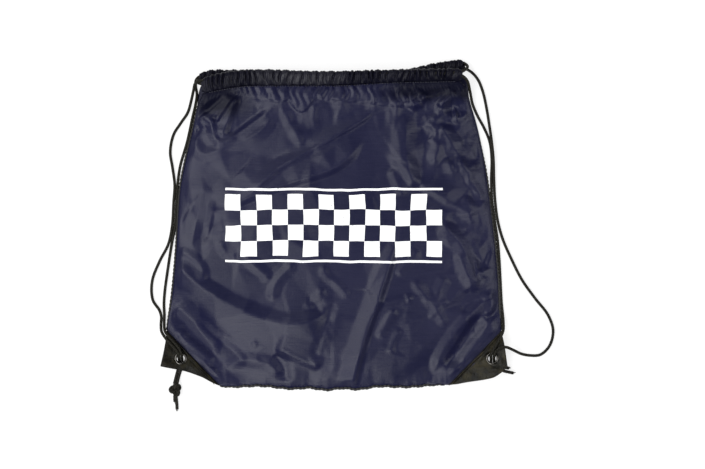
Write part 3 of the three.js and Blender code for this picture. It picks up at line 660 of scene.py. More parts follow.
class Nodes:
    """A material's shader and the procedural nodes that feed it."""

    def __init__(self, name, color, roughness, **constants):
        self.material = bpy.data.materials.new(name)
        self.material.use_nodes = True
        self.tree = self.material.node_tree
        self.shader = self.tree.nodes["Principled BSDF"]
        self.feed(Base_Color=(*color, 1), Roughness=roughness, **constants)
        self.place = self.add("ShaderNodeTexCoord").outputs["Object"]

    def fill(self, node, sockets):
        """Sets each socket to a value, or links it to the output that it gets."""
        for key, value in sockets.items():
            if isinstance(value, bpy.types.NodeSocket):
                self.tree.links.new(value, node.inputs[key])
            else:
                node.inputs[key].default_value = value

    def feed(self, **sockets):
        self.fill(self.shader, {key.replace("_", " "): value for key, value in sockets.items()})

    def add(self, kind, sockets=None, **settings):
        node = self.tree.nodes.new(kind)
        for key, value in settings.items():
            setattr(node, key, value)
        self.fill(node, sockets or {})
        return node

    def texture(self, kind, source=None, settings=None, **sockets):
        """A texture node at the object's own places, or at those of a source."""
        return self.add(kind, {"Vector": source or self.place, **sockets}, **(settings or {})).outputs

    def math(self, operation, *values, clamp=False):
        node = self.add("ShaderNodeMath", dict(enumerate(values)), operation=operation, use_clamp=clamp)
        return node.outputs[0]

    def plus(self, a, b):
        return self.math("ADD", a, b)

    def times(self, a, b):
        return self.math("MULTIPLY", a, b)

    def axes(self, source=None):
        split = self.add("ShaderNodeSeparateXYZ", {0: source or self.place})
        return split.outputs["X"], split.outputs["Y"]

    def scaled(self, scale, turn=0.0):
        return self.texture("ShaderNodeMapping", Scale=scale, Rotation=(0, 0, turn))[0]

    def noise(self, scale, detail=3, rough=0.55, source=None, distortion=0.0):
        sockets = {"Scale": scale, "Detail": detail, "Roughness": rough, "Distortion": distortion}
        return self.texture("ShaderNodeTexNoise", source, **sockets)[0]

    def wave(self, scale, source=None, direction="X"):
        return self.texture("ShaderNodeTexWave", source, {"bands_direction": direction}, Scale=scale)["Fac"]

    def ramp(self, value, low, high, to_low=0.0, to_high=1.0):
        sockets = {"Value": value, "From Min": low, "From Max": high, "To Min": to_low, "To Max": to_high}
        return self.add("ShaderNodeMapRange", sockets).outputs["Result"]

    def mix(self, share, *colors):
        """A colour between two, each given as numbers or as an output."""
        node = self.add("ShaderNodeMix", {"Factor": share}, data_type="RGBA")
        places = [i for i, socket in enumerate(node.inputs) if socket.type == "RGBA"]
        self.fill(node, {i: (*c, 1) if isinstance(c, tuple) else c for i, c in zip(places, colors)})
        return [socket for socket in node.outputs if socket.type == "RGBA"][0]

    def bump(self, heights):
        """Bumps one over another, each a (height, strength, distance in millimetres)."""
        under = {}
        for height, strength, distance in heights:
            sockets = {"Strength": strength, "Distance": distance * MM, "Height": height, **under}
            under = {"Normal": self.add("ShaderNodeBump", sockets).outputs["Normal"]}
        self.feed(**under)


NAVY = (0.0046, 0.0054, 0.024)
NAVY_LIGHT = (0.0078, 0.0082, 0.031)
# painted light: the lighter colour of the casing's middle
CASING_PAINTED_LIGHT = (0.006, 0.0058, 0.012)
SHEEN = (0.62, 0.58, 0.85, 1)
INK = (0.86, 0.86, 0.87)
WEAVE_PITCH = 0.62
WAVE_TURN = 6.28


def weave(n):
    """Warp and weft of fine nylon."""
    waves = 1 / (WEAVE_PITCH * MM) / WAVE_TURN
    return n.times(n.wave(waves), n.wave(waves, direction="Y"))


def painted_shade_under_casing(n):
    """Painted shade: 1 in the two tightly gathered places under the casing, where little light gets between
    the pleats.
    """
    x, y = n.axes()
    y = n.plus(y, n.times(n.noise(70, 3, 0.6), 18 * MM))
    left = n.times(n.ramp(x, -0.1, -0.135), n.ramp(y, 0.14, 0.158))
    right = n.times(n.ramp(x, 0.05, 0.09), n.ramp(y, 0.163, 0.175))
    return n.times(n.math("ADD", left, right, clamp=True), 0.75)


def nylon(name, printed=False, gathered=False, tint=(1, 1, 1), coarse=0.0, gloss=0.24, spread=1.0):
    n = Nodes(name, NAVY, 0.42, Specular_IOR_Level=gloss)
    n.feed(Sheen_Weight=0.02, Sheen_Roughness=0.4, Sheen_Tint=SHEEN)
    large = n.noise(9, 2)
    streaks = n.noise(1, 3, 0.6, source=n.scaled((45, 480, 45), 0.12))
    crinkle = n.noise(150, 4, 0.6, distortion=0.6)
    shade = n.plus(n.times(large, 0.6), n.times(streaks, 0.4))
    low = tuple(c * t for c, t in zip(NAVY, tint))
    high = tuple(c * t * spread for c, t in zip(NAVY_LIGHT, tint))
    color = n.mix(n.ramp(shade, 0.35, 0.65), low, high)
    rough = n.ramp(shade, 0.3, 0.7, 0.33 + coarse, 0.45 + coarse)
    if printed:
        # painted shade under the casing: darker colour, more roughness and less sheen where the mask is 1
        painted_shade = painted_shade_under_casing(n)
        color = n.mix(painted_shade, color, tuple(c * 0.2 for c in NAVY))
        rough = n.plus(rough, n.times(painted_shade, 0.1))
        n.feed(Specular_IOR_Level=n.ramp(painted_shade, 0, 1, gloss, gloss * 0.3))
        mask = checker_print(n)
        worn = n.ramp(n.noise(420, 4, 0.7), 0.30, 0.36)
        covered = n.times(mask, worn)
        color = n.mix(covered, color, INK)
        rough = n.plus(rough, n.times(covered, 0.12))
    # painted light: the casing's middle, around x = -50 mm, is made lighter and given more sheen
    if gathered:
        from_middle = n.math("ABSOLUTE", n.plus(n.axes()[0], 50 * MM))
        from_middle = n.plus(from_middle, n.times(n.noise(40, 3), 40 * MM))
        painted_light_middle = n.ramp(from_middle, 90 * MM, 50 * MM)
        n.feed(Specular_IOR_Level=n.ramp(painted_light_middle, 0, 1, gloss * 0.75, gloss * 1.6))
        color = n.mix(painted_light_middle, color, CASING_PAINTED_LIGHT)
    n.feed(Base_Color=color, Roughness=rough)
    yarns = n.noise(1, 2, 0.6, source=n.scaled((900, 70, 60)))
    bumps = [(crinkle, 0.3, 0.45), (streaks, 0.8, 0.3), (yarns, 0.5, 0.16), (weave(n), 0.3, 0.1)]
    if printed:
        bumps.append((covered, 0.25, 0.08))
    n.bump(bumps)
    return n.material


# The print: a chequered band between two thin lines, in millimetres
PRINT_LEFT = -137
PRINT_LOW = -40
PRINT_WAVER = 6
CHECK = 20
CHECKS_ACROSS = 14
CHECKS_ALONG = 4
LINE_GAP = 5
LINE_WIDTH = 3


def between(n, value, low, high):
    return n.times(n.math("GREATER_THAN", value, low * MM), n.math("LESS_THAN", value, high * MM))


def checker_print(n):
    """1 where the white ink lies."""
    x, y = n.axes()
    x = n.plus(x, n.times(n.noise(16, 2), PRINT_WAVER * MM))
    y = n.plus(y, n.times(n.noise(19, 2), PRINT_WAVER * MM))
    right = PRINT_LEFT + CHECK * CHECKS_ACROSS
    high = PRINT_LOW + CHECK * CHECKS_ALONG
    column, row = [
        n.math("FLOOR", n.math("DIVIDE", n.math("SUBTRACT", at, start * MM), CHECK * MM))
        for at, start in ((x, PRINT_LEFT), (y, PRINT_LOW))
    ]
    odd = n.math("MODULO", n.plus(n.plus(column, row), 100), 2)
    field = n.times(between(n, x, PRINT_LEFT, right), between(n, y, PRINT_LOW, high))
    squares = n.times(odd, field)
    above = high + LINE_GAP
    below = PRINT_LOW - LINE_GAP
    lines = n.plus(between(n, y, above, above + LINE_WIDTH), between(n, y, below - LINE_WIDTH, below))
    return n.math("MAXIMUM", squares, n.times(lines, between(n, x, PRINT_LEFT, right)))


LEATHER_DARK = (0.0022, 0.002, 0.0011)
LEATHER_WORN = (0.026, 0.0215, 0.0085)


def leather(side, tone, gloss):
    """Coated leather-look sheet, worn olive-brown in places; tone is 1 for the more worn side."""
    n = Nodes("corner_leather_" + side, LEATHER_DARK, 0.38, Specular_IOR_Level=gloss)
    cells = n.texture("ShaderNodeTexVoronoi", None, {"feature": "DISTANCE_TO_EDGE"}, Scale=900)
    grain = n.ramp(cells["Distance"], 0, 0.35)
    wrinkle = n.noise(110, 5, 0.6, distortion=1.2)
    wear = n.noise(75, 5, 0.65, distortion=0.5)
    worn = tuple(c * tone for c in LEATHER_WORN)
    n.feed(
        Base_Color=n.mix(n.ramp(wear, 0.44, 0.64), LEATHER_DARK, worn),
        Roughness=n.ramp(wear, 0.35, 0.65, 0.28, 0.5),
    )
    n.bump([(wrinkle, 0.8, 1.6), (grain, 0.5, 0.2)])
    return n.material


NICKEL = (0.2, 0.19, 0.18)
NICKEL_BRIGHT = (0.1, 0.096, 0.09)
NICKEL_DULL = (0.03, 0.028, 0.025)


def nickel():
    n = Nodes("eyelet_nickel", NICKEL, 0.25, Metallic=1.0)
    stain = n.noise(300, 4, 0.6)
    n.feed(
        Base_Color=n.mix(n.ramp(stain, 0.4, 0.7), NICKEL_BRIGHT, NICKEL_DULL),
        Roughness=n.ramp(stain, 0.3, 0.7, 0.14, 0.32),
    )
    n.bump([(n.noise(900, 2), 0.15, 0.05)])
    return n.material


BRAID_PITCH = 3.4
BRAID_STRANDS = 4
BRAID = (0.005, 0.0046, 0.0032)
# painted shade in the grooves between the braid's strands, and painted light on their crests
BRAID_GROOVE_SHADE = (0.002, 0.0018, 0.0012)
BRAID_CREST_LIGHT = (0.008, 0.0073, 0.0048)
# painted glints on the braid's crests
BRAID_CREST_GLINT = (0.038, 0.036, 0.027)


def braid():
    n = Nodes("cord_braid", BRAID, 0.65, Specular_IOR_Level=0.15)
    flat = n.add("ShaderNodeUVMap", uv_map="flat").outputs[0]
    along, around = n.axes(flat)
    along = n.times(along, 2 * math.pi)
    around = n.times(around, 2 * math.pi * BRAID_STRANDS)
    one = n.math("SINE", n.plus(along, around))
    other = n.math("SINE", n.math("SUBTRACT", along, around))
    over = n.math("MAXIMUM", one, other)
    # painted glints on every other crest of one set of strands
    crest_glint = n.math("GREATER_THAN", n.times(one, n.math("COSINE", n.times(along, 0.5))), 0.35)
    fibre = n.noise(2600, 2)
    # painted shade and light: darker in the grooves, lighter on the strands' crests
    dark = n.mix(n.ramp(over, -0.4, 1), BRAID_GROOVE_SHADE, BRAID_CREST_LIGHT)
    n.feed(Base_Color=n.mix(n.times(crest_glint, 0.5), dark, BRAID_CREST_GLINT))
    n.bump([(over, 0.6, 0.35), (fibre, 0.3, 0.12)])
    return n.material


def thread(name, color):
    n = Nodes(name, color, 0.6, Specular_IOR_Level=0.4)
    twist = n.wave(400, source=n.scaled((1, 1, 1), 0.7))
    # painted shade: the thread is 0.7 as bright in the hollows of its twist
    n.feed(Base_Color=n.mix(twist, tuple(c * 0.7 for c in color), color))
    n.bump([(twist, 0.4, 0.1)])
    return n.material


CAMERA_HEIGHT = 2.0
CAMERA_ABOVE = 8


def make_camera():
    """The photograph's view: straight down, so that a pixel is its size on the sack."""
    data = bpy.data.cameras.new("camera")
    data.sensor_width = 36
    data.lens = data.sensor_width * CAMERA_HEIGHT / (IMAGE_WIDTH * PIXEL * MM)
    camera = bpy.data.objects.new("camera", data)
    middle = from_pixels((IMAGE_WIDTH / 2, IMAGE_HEIGHT / 2))[0] * MM
    camera.location = (*middle, CAMERA_HEIGHT + CAMERA_ABOVE * MM)
    show(camera)
    bpy.context.scene.camera = camera


def tube(line, radius, sides, relief):
    """Rings round a line of points, with a braid's strands as relief, and how far along each ring is."""
    along = lengths_along(line)
    tangent = np.gradient(line, axis=0)
    tangent /= np.linalg.norm(tangent, axis=1)[:, None]
    across = np.zeros(line.shape)
    previous = np.cross(tangent[0], (0, 0, 1))
    if np.linalg.norm(previous) < 0.1:
        previous = np.cross(tangent[0], (0, 1, 0))
    for i, t in enumerate(tangent):
        previous = previous - t * (previous @ t)
        previous /= np.linalg.norm(previous)
        across[i] = previous
    other = np.cross(tangent, across)
    angle = 2 * np.pi * np.arange(sides) / sides
    phase = 2 * np.pi * along[:, None] / BRAID_PITCH
    strands = np.maximum(
        np.sin(phase + BRAID_STRANDS * angle[None, :]), np.sin(phase - BRAID_STRANDS * angle[None, :])
    )
    size = radius * (1 + relief * strands)
    points = (
        line[:, None, :]
        + size[..., None] * np.cos(angle)[None, :, None] * across[:, None, :]
        + size[..., None] * np.sin(angle)[None, :, None] * other[:, None, :]
    )
    return points, along


def tube_mesh(name, parts, look, node):
    """One mesh of several tubes with closed ends. Each part is (line, radius, sides, relief)."""
    points, faces, flat = [], [], []
    for line, radius, sides, relief in parts:
        rings, along = tube(line, radius, sides, relief)
        base = len(points)
        count = len(line)
        points += rings.reshape(-1, 3).tolist()
        for i in range(count - 1):
            for k in range(sides):
                a, b = base + i * sides + k, base + i * sides + (k + 1) % sides
                faces.append((a, b, b + sides, a + sides))
                s0, s1 = along[i] / BRAID_PITCH, along[i + 1] / BRAID_PITCH
                t0, t1 = k / sides, (k + 1) / sides
                flat.append([(s0, t0), (s0, t1), (s1, t1), (s1, t0)])
        for ring, turn in ((0, -1), (count - 1, 1)):
            loop = [base + ring * sides + k for k in range(sides)][::turn]
            faces.append(tuple(loop))
            flat.append([(along[ring] / BRAID_PITCH, k / sides) for k in range(sides)])
    piece = new_piece(name, points, faces, look, node)
    layer = piece.data.uv_layers.new(name="flat")
    layer.data.foreach_set("uv", np.array([c for f in flat for c in f], np.float32).ravel())
    return piece


CORD_STEP = 0.85
BRAID_SWELL = 1.05
CORD_RADIUS = BRAID_SWELL * CORD_DIAMETER / 2
CORD_SIDES = 14
CORD_RELIEF = 0.07
KNOT_SIDES = 12
KNOT_SIZE = 6.2
KNOT_FLAT = 0.85
KNOT_TWIN = 1.1


def make_cord(side, route, knots):
    line = catmull_rom(route, CORD_STEP)
    parts = [(line, CORD_RADIUS, CORD_SIDES, CORD_RELIEF)]
    piece = tube_mesh("cord_" + side, parts, "braid", "drawcord_" + side)


def overhand(place, turn, offset):
    """One strand of an overhand knot's loop, shifted sideways by offset from its twin."""
    t = np.linspace(0, 2 * np.pi, 130)
    x = np.sin(t) + 2 * np.sin(2 * t)
    y = np.cos(t) - 2 * np.cos(2 * t)
    outward = abreast(x, y, 0 * t)
    outward /= np.maximum(np.linalg.norm(outward, axis=1), 0.2)[:, None]
    curve = abreast(x, y, -np.sin(3 * t) * 1.5) / 3 * KNOT_SIZE + outward * offset
    c, s = math.cos(turn), math.sin(turn)
    x, y, z = curve.T
    return abreast(x * c - y * s, x * s + y * c, z * KNOT_FLAT) + np.array(place)


def make_knot(side, place, tails, turn, route):
    """A knot of two strands, the ends of the cord that lead into it and its loose tails."""
    strands = [(overhand(place, turn, offset), CORD_RADIUS * 0.95) for offset in (-KNOT_TWIN, KNOT_TWIN)]
    for end, before in ((route[0], route[1]), (route[-1], route[-2])):
        way = np.array(end) - np.array(before)
        start = np.array(end) + 0.15 * way / np.linalg.norm(way)
        middle = start * 0.6 + np.array(place) * 0.4
        strands.append((catmull_rom([start, middle, place], CORD_STEP), CORD_RADIUS))
    parts = [(line, radius, KNOT_SIDES, CORD_RELIEF) for line, radius in strands]
    for tail in tails:
        line = catmull_rom(tail, CORD_STEP)
        parts.append((line, CORD_RADIUS * 1.12, KNOT_SIDES, CORD_RELIEF))
        parts += frayed_tip(line, CORD_RADIUS)
    return tube_mesh("tied_knot_" + side, parts, "braid", "knot_" + side)


def frayed_tip(line, radius):
    """The loose fibres at a cut end."""
    r = np.random.default_rng(int(abs(line[-1, 0] * 10)))
    way = line[-1] - line[-3]
    way /= np.linalg.norm(way)
    fibres = []
    for _ in range(9):
        lean = way + r.normal(0, 0.22, 3) * np.array([1, 1, 0.3])
        start = line[-1] - way * 0.5 + r.uniform(-0.6, 0.6, 3) * radius * np.array([1, 1, 0.6])
        reach = r.uniform(1.4, 3.2)
        end = start + lean * reach
        end[2] = max(end[2], 0.35)
        fibres.append((np.linspace(start, end, 4), 0.22, 5, 0.0))
    return fibres


PANEL_ACROSS = 224
PANEL_ALONG = 194
BACK_ACROSS = 120
BACK_ALONG = 100
BACK_WALL = 0.6
HOLE_RADIUS = 6.3


def without_holes(points, faces):
    """The faces that stay clear of the eyelets' barrels."""
    middle = points[faces].mean(axis=1)
    keep = np.ones(len(faces), bool)
    for c in CORNERS:
        keep &= np.hypot(middle[:, 0] - c.eyelet[0], middle[:, 1] - c.eyelet[1]) > HOLE_RADIUS
    return faces[keep]


def panel_grid(across, along, line, spread):
    """Places over the panel's cloth, closer together towards its edges."""
    u = np.linspace(0, 1, across)
    u = u - 0.03 * np.sin(2 * np.pi * u)
    u, v = np.meshgrid(u, np.linspace(0, 1, along))
    x, y = cloth_point(u, v, line, spread)
    return u, v, x, y


def make_front():
    u, v, x, y = panel_grid(PANEL_ACROSS, PANEL_ALONG, FRONT_LINE, 0)
    z = front_height(u, v, x, y)
    wavered = seam_waver(x) * (1 - smoothstep(0, 0.06, v))
    y = y + wavered * smoothstep(0.12, 0.2, u) * smoothstep(0.12, 0.2, 1 - u)
    points = abreast(x, y, z)
    faces = without_holes(points, grid_faces(PANEL_ACROSS, PANEL_ALONG))
    piece = new_piece("front_cloth", points, faces, "front", "front_panel")
    thicken(piece, CLOTH)
    tree = kdtree.KDTree(len(points))
    for i, (px, py, _) in enumerate(points):
        tree.insert((px, py, 0), i)
    tree.balance()
    return tree, points[:, 2]


def make_back():
    u, v, x, y = panel_grid(BACK_ACROSS, BACK_ALONG, BACK_LINE, CASING_SPREAD)
    pleats = pleat_wave(x + 4 * np.sin(0.05 * y), 41, 9, 26)
    z = 1 + back_under(x, y) - 0.35 * pleats * smoothstep(0.75, 0.97, v)
    points = abreast(x, y, z)
    faces = without_holes(points, grid_faces(BACK_ACROSS, BACK_ALONG))
    piece = new_piece("back_cloth", points, faces, "back", "back_panel")
    thicken(piece, BACK_WALL)


CASING_STEPS = 620
CASING_END = 3.5
CASING_WAVER = 1.8
SECTION_STEPS = 30


def make_casing(side, line, spread, base_z, seed):
    """A casing: a hollow hem, gathered on its cords into uneven pleats and pinched at its stitch line."""
    width = MOUTH_LEFT + MOUTH_RIGHT
    u = np.linspace(0, 1, CASING_STEPS)
    x = -MOUTH_LEFT + width * u + spread * (2 * u - 1)
    x = x + CASING_END * (smoothstep(0.98, 1, u) - 0.3 * (1 - smoothstep(0, 0.02, u)))
    from_end = np.minimum(u, 1 - u) * width
    rounded = np.exp(-((from_end / 3) ** 2))
    drawn_in = 1 - 0.3 * np.exp(-from_end / 5)
    section = catmull_rom(CASING_SECTION, 0.02)
    at = np.linspace(0, len(section) - 1, SECTION_STEPS)
    ups, outs = [np.interp(at, np.arange(len(section)), section[:, k]) for k in range(2)]
    slant = np.random.default_rng(seed).uniform(-1, 1, 12)
    lean = np.interp(u, np.linspace(0, 1, 12), slant)
    low = casing_line(line, 1, u)
    high = casing_line(line, 2, u)
    bottom = low + 2 * rounded + CASING_WAVER * (pleat_wave(x, seed + 3, 5, 15) - 0.6)
    points = np.zeros((SECTION_STEPS, CASING_STEPS, 3))
    for row, up, out in zip(points, ups, outs):
        shifted = x + 5 * lean * (up - 0.5) + 1.2 * np.sin(4 * up + 0.09 * x)
        broad = pleat_wave(shifted, seed + 1, 5, 13)
        fine = pleat_wave(shifted * 1.02, seed + 2, 2.4, 5.5)
        free = np.sin(np.pi * np.clip(up, 0.04, 1) ** 0.7 * 0.72)
        pleated = 0.62 * (broad - 0.62) * free + 0.3 * (fine - 0.6) * (0.5 + 0.5 * (1 - free))
        depth = CASING_DEPTH * (1 + pleated) if out > 0.2 else CASING_DEPTH
        top = high + 1.5 * (broad - 0.6) + 0.8 * (fine - 0.5) - 3 * rounded
        row[:, 0] = x + 0.8 * lean * out * free
        row[:, 1] = bottom + up * (top - bottom)
        row[:, 2] = np.maximum(base_z + out * depth * drawn_in, base_z)
    faces = grid_faces(CASING_STEPS, SECTION_STEPS)[:, ::-1]
    points = points.reshape(-1, 3)
    piece = new_piece(side + "_hem", points, faces, "casing", side + "_casing")
    thicken(piece, CLOTH)


def capsules(name, places, ways, length, radius, look):
    """Many small stitches as one mesh: each a short six-sided bar with tapered ends."""
    points, faces = [], []
    sides = 6
    ring = [(math.cos(a), math.sin(a)) for a in np.arange(sides) * math.pi / 3]
    for place, way in zip(places, ways):
        way = way / np.linalg.norm(way)
        across = np.cross(way, (0, 0, 1))
        across /= np.linalg.norm(across)
        other = np.cross(way, across)
        base = len(points)
        for share, size, lift in ((-0.5, 0.35, -0.5), (-0.3, 1, 0), (0.3, 1, 0), (0.5, 0.35, -0.5)):
            middle = place + way * share * length + np.array([0, 0, lift * radius])
            points += [middle + radius * size * (c * across + s * other) for c, s in ring]
        for i in range(3):
            for k in range(sides):
                a, b = base + sides * i + k, base + sides * i + (k + 1) % sides
                faces.append((a, a + sides, b + sides, b))
        faces.append(tuple(base + k for k in range(sides)))
        faces.append(tuple(base + 3 * sides + k for k in reversed(range(sides))))
    new_piece(name, points, faces, look, None)


def stitches_along(line, pitch, height):
    """Places and ways of stitches along a line of points on the sack, at the height that a function gives."""
    even = catmull_rom(line, pitch)
    x, y = even.T
    lifted = abreast(x, y, height(x, y))
    return (lifted[:-1] + lifted[1:]) / 2, np.diff(lifted, axis=0)


def seam_waver(x):
    """How the puckered bottom seam wavers up and down along its length."""
    return 1.1 * np.sin(0.113 * x + 1.3 * np.sin(0.031 * x)) + 0.5 * np.sin(0.37 * x + 1)


ABOVE_PATCH = 0.13
SIDE_SEAM = 0.85
OVERLOCK_SIDES = 8
OVERLOCK_TURN = 1.35
STITCH_IN = 3.4
STITCH_PITCH = 3.1
STITCH_LENGTH = 2.3


def make_seams():
    """The overlocked edge of the bottom and side seams, and the stitch lines beside it."""
    shares = ABOVE_PATCH + SIDE_SEAM * np.linspace(0.002, 0.998, 260)
    rims = [
        ("bottom", bottom_edge(np.linspace(0.17, 0.83, 300)), (0, 1), 1.8),
        ("left", left_edge(shares), (1, 0.1), 1.5),
        ("right", right_edge(shares), (-1, 0.1), 2),
    ]
    for name, rim, inward, radius in rims:
        rim = abreast(*rim)[::6]
        inward = np.array(inward)
        x, y = (catmull_rom(rim, 1.1) - inward * 0.3).T
        if name == "bottom":
            y = y + seam_waver(x)
        turn = np.arange(len(x)) * OVERLOCK_TURN
        height = np.maximum((FRONT_TOP + back_under(x, y)) * 0.5 + 0.1, radius + 0.5)
        wound = abreast(x + 0.35 * np.cos(turn), y + 0.35 * np.cos(turn), height + 0.45 * np.sin(turn))
        parts = [(wound, radius, OVERLOCK_SIDES, 0.0)]
        tube_mesh(f"overlock_{name}", parts, "dark_thread", None)
        beside = rim + inward * STITCH_IN
        places, ways = stitches_along(beside, STITCH_PITCH, lambda a, b: front_top(a, b) + 0.12)
        capsules(f"seam_stitches_{name}", places, ways, STITCH_LENGTH, 0.26, "navy_thread")
    stitch_line = abreast(
        np.linspace(-MOUTH_LEFT + 8, MOUTH_RIGHT - 6, 70),
        casing_line(FRONT_LINE, 1, np.linspace(0.024, 0.982, 70)) - 1.2,
    )
    places, ways = stitches_along(stitch_line, 3.3, lambda a, b: front_top(a, b) + 0.8)
    capsules("casing_stitches", places, ways, 2.5, 0.4, "pale_thread")


def front_top(x, y):
    """The height of the front's finished upper side near a point."""
    near = [front_tree.find(Vector((a, b, 0)))[1] for a, b in zip(x, y)]
    return front_heights[near]


PATCH_ROWS = 34
PATCH_COLUMNS = 70
PATCH_WALL = 0.9
PATCH_TOP = 3.6
PATCH_UNDER = 0.3


def patch_grid(corner):
    """Places over a corner patch, from its long edge (row 0) to its outer edge, and each row's share."""
    outer = [corner.on_side(1 - t) for t in np.linspace(0, 1, 30)]
    outer += [corner.on_seam(t) for t in np.linspace(0, 1, 50)[1:]]
    outer = np.array(outer, float)
    along = lengths_along(outer)
    s = np.linspace(0, 1, PATCH_COLUMNS)
    rim = abreast(*[np.interp(s * along[-1], along, outer[:, k]) for k in range(2)])
    long_edge = corner.upper + (corner.lower - corner.upper) * s[:, None]
    t = np.linspace(0, 1, PATCH_ROWS)[:, None]
    return long_edge * (1 - t[..., None]) + rim * t[..., None], t


def patch_top(corner, x, y):
    """The upper side of a front patch: a padded plate with a rolled long edge, creased towards its eyelet."""
    beyond = corner.beyond(x, y)
    roll = 1.9 * np.exp(-(((beyond - 1.5) / 1.2) ** 2))
    groove = -0.7 * np.exp(-(((beyond - 4.2) / 0.8) ** 2))
    r = np.random.default_rng(7 if corner.side < 0 else 9)
    relief = np.zeros(np.shape(x))
    for _ in range(26):
        start = corner.eyelet + r.uniform(-34, 30, 2) * np.array([-corner.side, 0.6])
        way = math.radians(r.uniform(-60, 60) + (135 if corner.side < 0 else 45))
        half = r.uniform(8, 18)
        reach = half * np.array([math.cos(way), math.sin(way)])
        ends = np.array([start - reach, start + reach])
        rise = r.uniform(0.8, 2.2) * r.choice([1, -0.5])
        relief += crease_relief(x, y, ends, rise, r.uniform(2, 6), r.uniform(2, 6), 0.5, 0.4)
    flat_near = smoothstep(8.5, 13, np.hypot(x - corner.eyelet[0], y - corner.eyelet[1]))
    return corner.height(x, y) + PATCH_TOP + roll + groove + relief * flat_near


def make_patches():
    for corner in CORNERS:
        side = corner.name
        places, row = patch_grid(corner)
        x, y = places[..., 0], places[..., 1]
        heights = {
            "front": patch_top(corner, x, y) - smoothstep(0.93, 1, row) * 0.7,
            "back": corner.height(x, y) - PATCH_UNDER,
        }
        faces = grid_faces(PATCH_COLUMNS, PATCH_ROWS)
        if corner.side < 0:
            faces = faces[:, ::-1]
        for face, z in heights.items():
            points = abreast(x, y, np.maximum(z, 0.2))
            node = f"patch_{face}_{side}"
            clear = without_holes(points, faces)
            piece = new_piece("leather_" + node, points, clear, "leather_" + side, node)
            thicken(piece, PATCH_WALL)
        line = np.stack([corner.upper, corner.lower]) + corner.normal * 4.2
        inner = line[0] + (line[1] - line[0]) * np.linspace(0.05, 0.95, 8)[:, None]
        places, ways = stitches_along(inner, 3.0, lambda a, b: patch_top(corner, a, b) + 0.25)
        name = f"patch_stitches_{side}"
        capsules(name, places, ways, STITCH_LENGTH, 0.34, "dark_thread")


EYELET_BORE = 5.4
EYELET_BARREL = 6.0
EYELET_FLANGE = 8.0
EYELET_STACK = 4
EYELET_TURNS = 72


def make_eyelets():
    """Rolled nickel rings with a flange on each face of the corner."""
    low, high = -LAYER_GAP, EYELET_STACK + 4 * LAYER_GAP
    rolled = [
        (EYELET_BARREL, 0.1), (EYELET_FLANGE - 0.3, 0.05), (EYELET_FLANGE, -0.25),
        (EYELET_FLANGE - 0.4, -0.7), (EYELET_BORE + 0.9, -0.95), (EYELET_BORE, -0.2),
    ]
    profile = [(out, low + up) for out, up in rolled] + [(out, high - up) for out, up in reversed(rolled)]
    out, up = catmull_rom(profile + profile[:1], 0.35)[:-1].T
    count = len(out)
    angle = 2 * np.pi * np.arange(EYELET_TURNS)[:, None] / EYELET_TURNS
    ring = abreast(np.cos(angle) * out, np.sin(angle) * out, up + 0 * angle)
    faces = []
    for i in range(EYELET_TURNS):
        here, there = i * count, (i + 1) % EYELET_TURNS * count
        for k in range(count):
            after = (k + 1) % count
            faces.append((here + k, there + k, there + after, here + after))
    for corner in CORNERS:
        turn = np.array(Vector((0, 0, 1)).rotation_difference(corner.up()).to_matrix())
        base = float(back_under(*corner.eyelet)) - LAYER_GAP - 1
        placed = ring @ turn.T + np.array([*corner.eyelet, base])
        name = f"eyelet_{corner.name}"
        new_piece("nickel_" + name, placed, faces, "nickel", name)


FLOOR_HALF = 30.0
FLOOR_DROP = 0.0004


def make_floor():
    n = Nodes("floor_paper", (0.9, 0.9, 0.9), 0.9, Specular_IOR_Level=0.1)
    n.feed(Base_Color=n.mix(n.noise(3, 2), (0.22, 0.22, 0.22), (0.23, 0.23, 0.23)))
    n.feed(Emission_Color=(1, 1, 1, 1), Emission_Strength=0.76)
    mesh = bpy.data.meshes.new("floor")
    corners = [(x * FLOOR_HALF, y * FLOOR_HALF, 0) for x, y in ((-1, -1), (1, -1), (1, 1), (-1, 1))]
    mesh.from_pydata(corners, [], [(0, 1, 2, 3)])
    floor = bpy.data.objects.new("floor", mesh)
    floor.location.z = -FLOOR_DROP
    mesh.materials.append(n.material)
    show(floor)


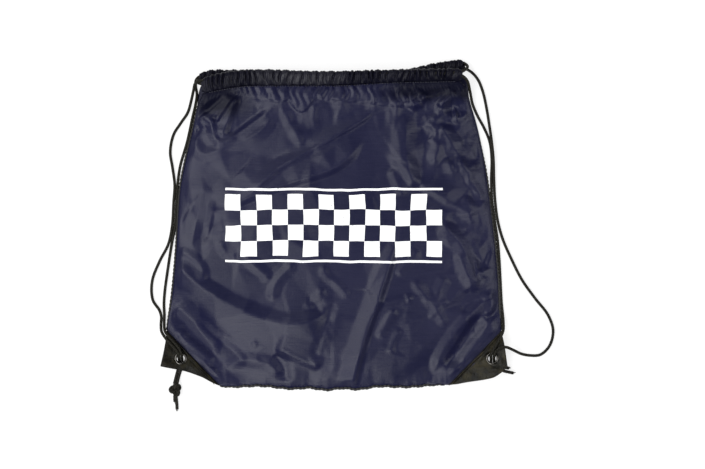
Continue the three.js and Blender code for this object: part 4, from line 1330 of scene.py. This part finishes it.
# Soft lamps: name, place in metres, side of the square lamp in metres, power in watts
LAMPS = [
    ("key", (-1.3, 0.3, 1.7), 1.5, 41),
    ("fill", (1.7, -0.1, 1.5), 1.5, 26),
    ("top", (-0.4, 2.0, 1.3), 1.4, 8),
    ("low", (-0.7, -1.4, 1.8), 1.3, 38),
]
WORLD = 0.07


def make_light():
    for name, place, side, power in LAMPS:
        data = bpy.data.lights.new(name, "AREA")
        data.shape = "SQUARE"
        data.size = side
        data.energy = power
        lit = bpy.data.objects.new(name, data)
        lit.location = place
        lit.rotation_euler = (-Vector(place)).to_track_quat("-Z", "Y").to_euler()
        show(lit)
    world = bpy.data.worlds.new("studio")
    world.use_nodes = True
    background = world.node_tree.nodes["Background"]
    background.inputs["Color"].default_value = (1, 1, 1, 1)
    background.inputs["Strength"].default_value = WORLD
    bpy.context.scene.world = world
    bpy.context.scene.view_settings.view_transform = "Standard"


make_camera()

materials = {"braid": braid()}
for side, route, knot, tails, turn in (
    ("left", laid(LEFT_ROUTE), LEFT_KNOT, LEFT_TAILS, 0.4),
    ("right", laid(RIGHT_ROUTE), RIGHT_KNOT, RIGHT_TAILS, 1.7),
):
    make_cord(side, route, [make_knot(side, knot, [laid(tail) for tail in tails], turn, route)])

materials.update(
    front=nylon("nylon_front", printed=True),
    back=nylon("nylon_back"),
    # the casing is the front's nylon darkened by its tint, as painted shade of its tight pleats
    casing=nylon("nylon_casing", gathered=True, tint=(0.36, 0.33, 0.22), coarse=0.02, gloss=0.16, spread=1.7),
    leather_left=leather("left", 0.4, 0.13),
    leather_right=leather("right", 0.75, 0.2),
    nickel=nickel(),
    dark_thread=thread("thread_dark", (0.009, 0.0085, 0.008)),
    navy_thread=thread("thread_navy", (0.014, 0.015, 0.04)),
    pale_thread=thread("thread_pale", (0.035, 0.035, 0.05)),
)

make_back()
front_tree, front_heights = make_front()
make_seams()
make_casing("back", BACK_LINE, CASING_SPREAD, 0.55, 61)
make_casing("front", FRONT_LINE, 0, FRONT_CASING_BASE, 71)
make_patches()
make_eyelets()
make_floor()
make_light()
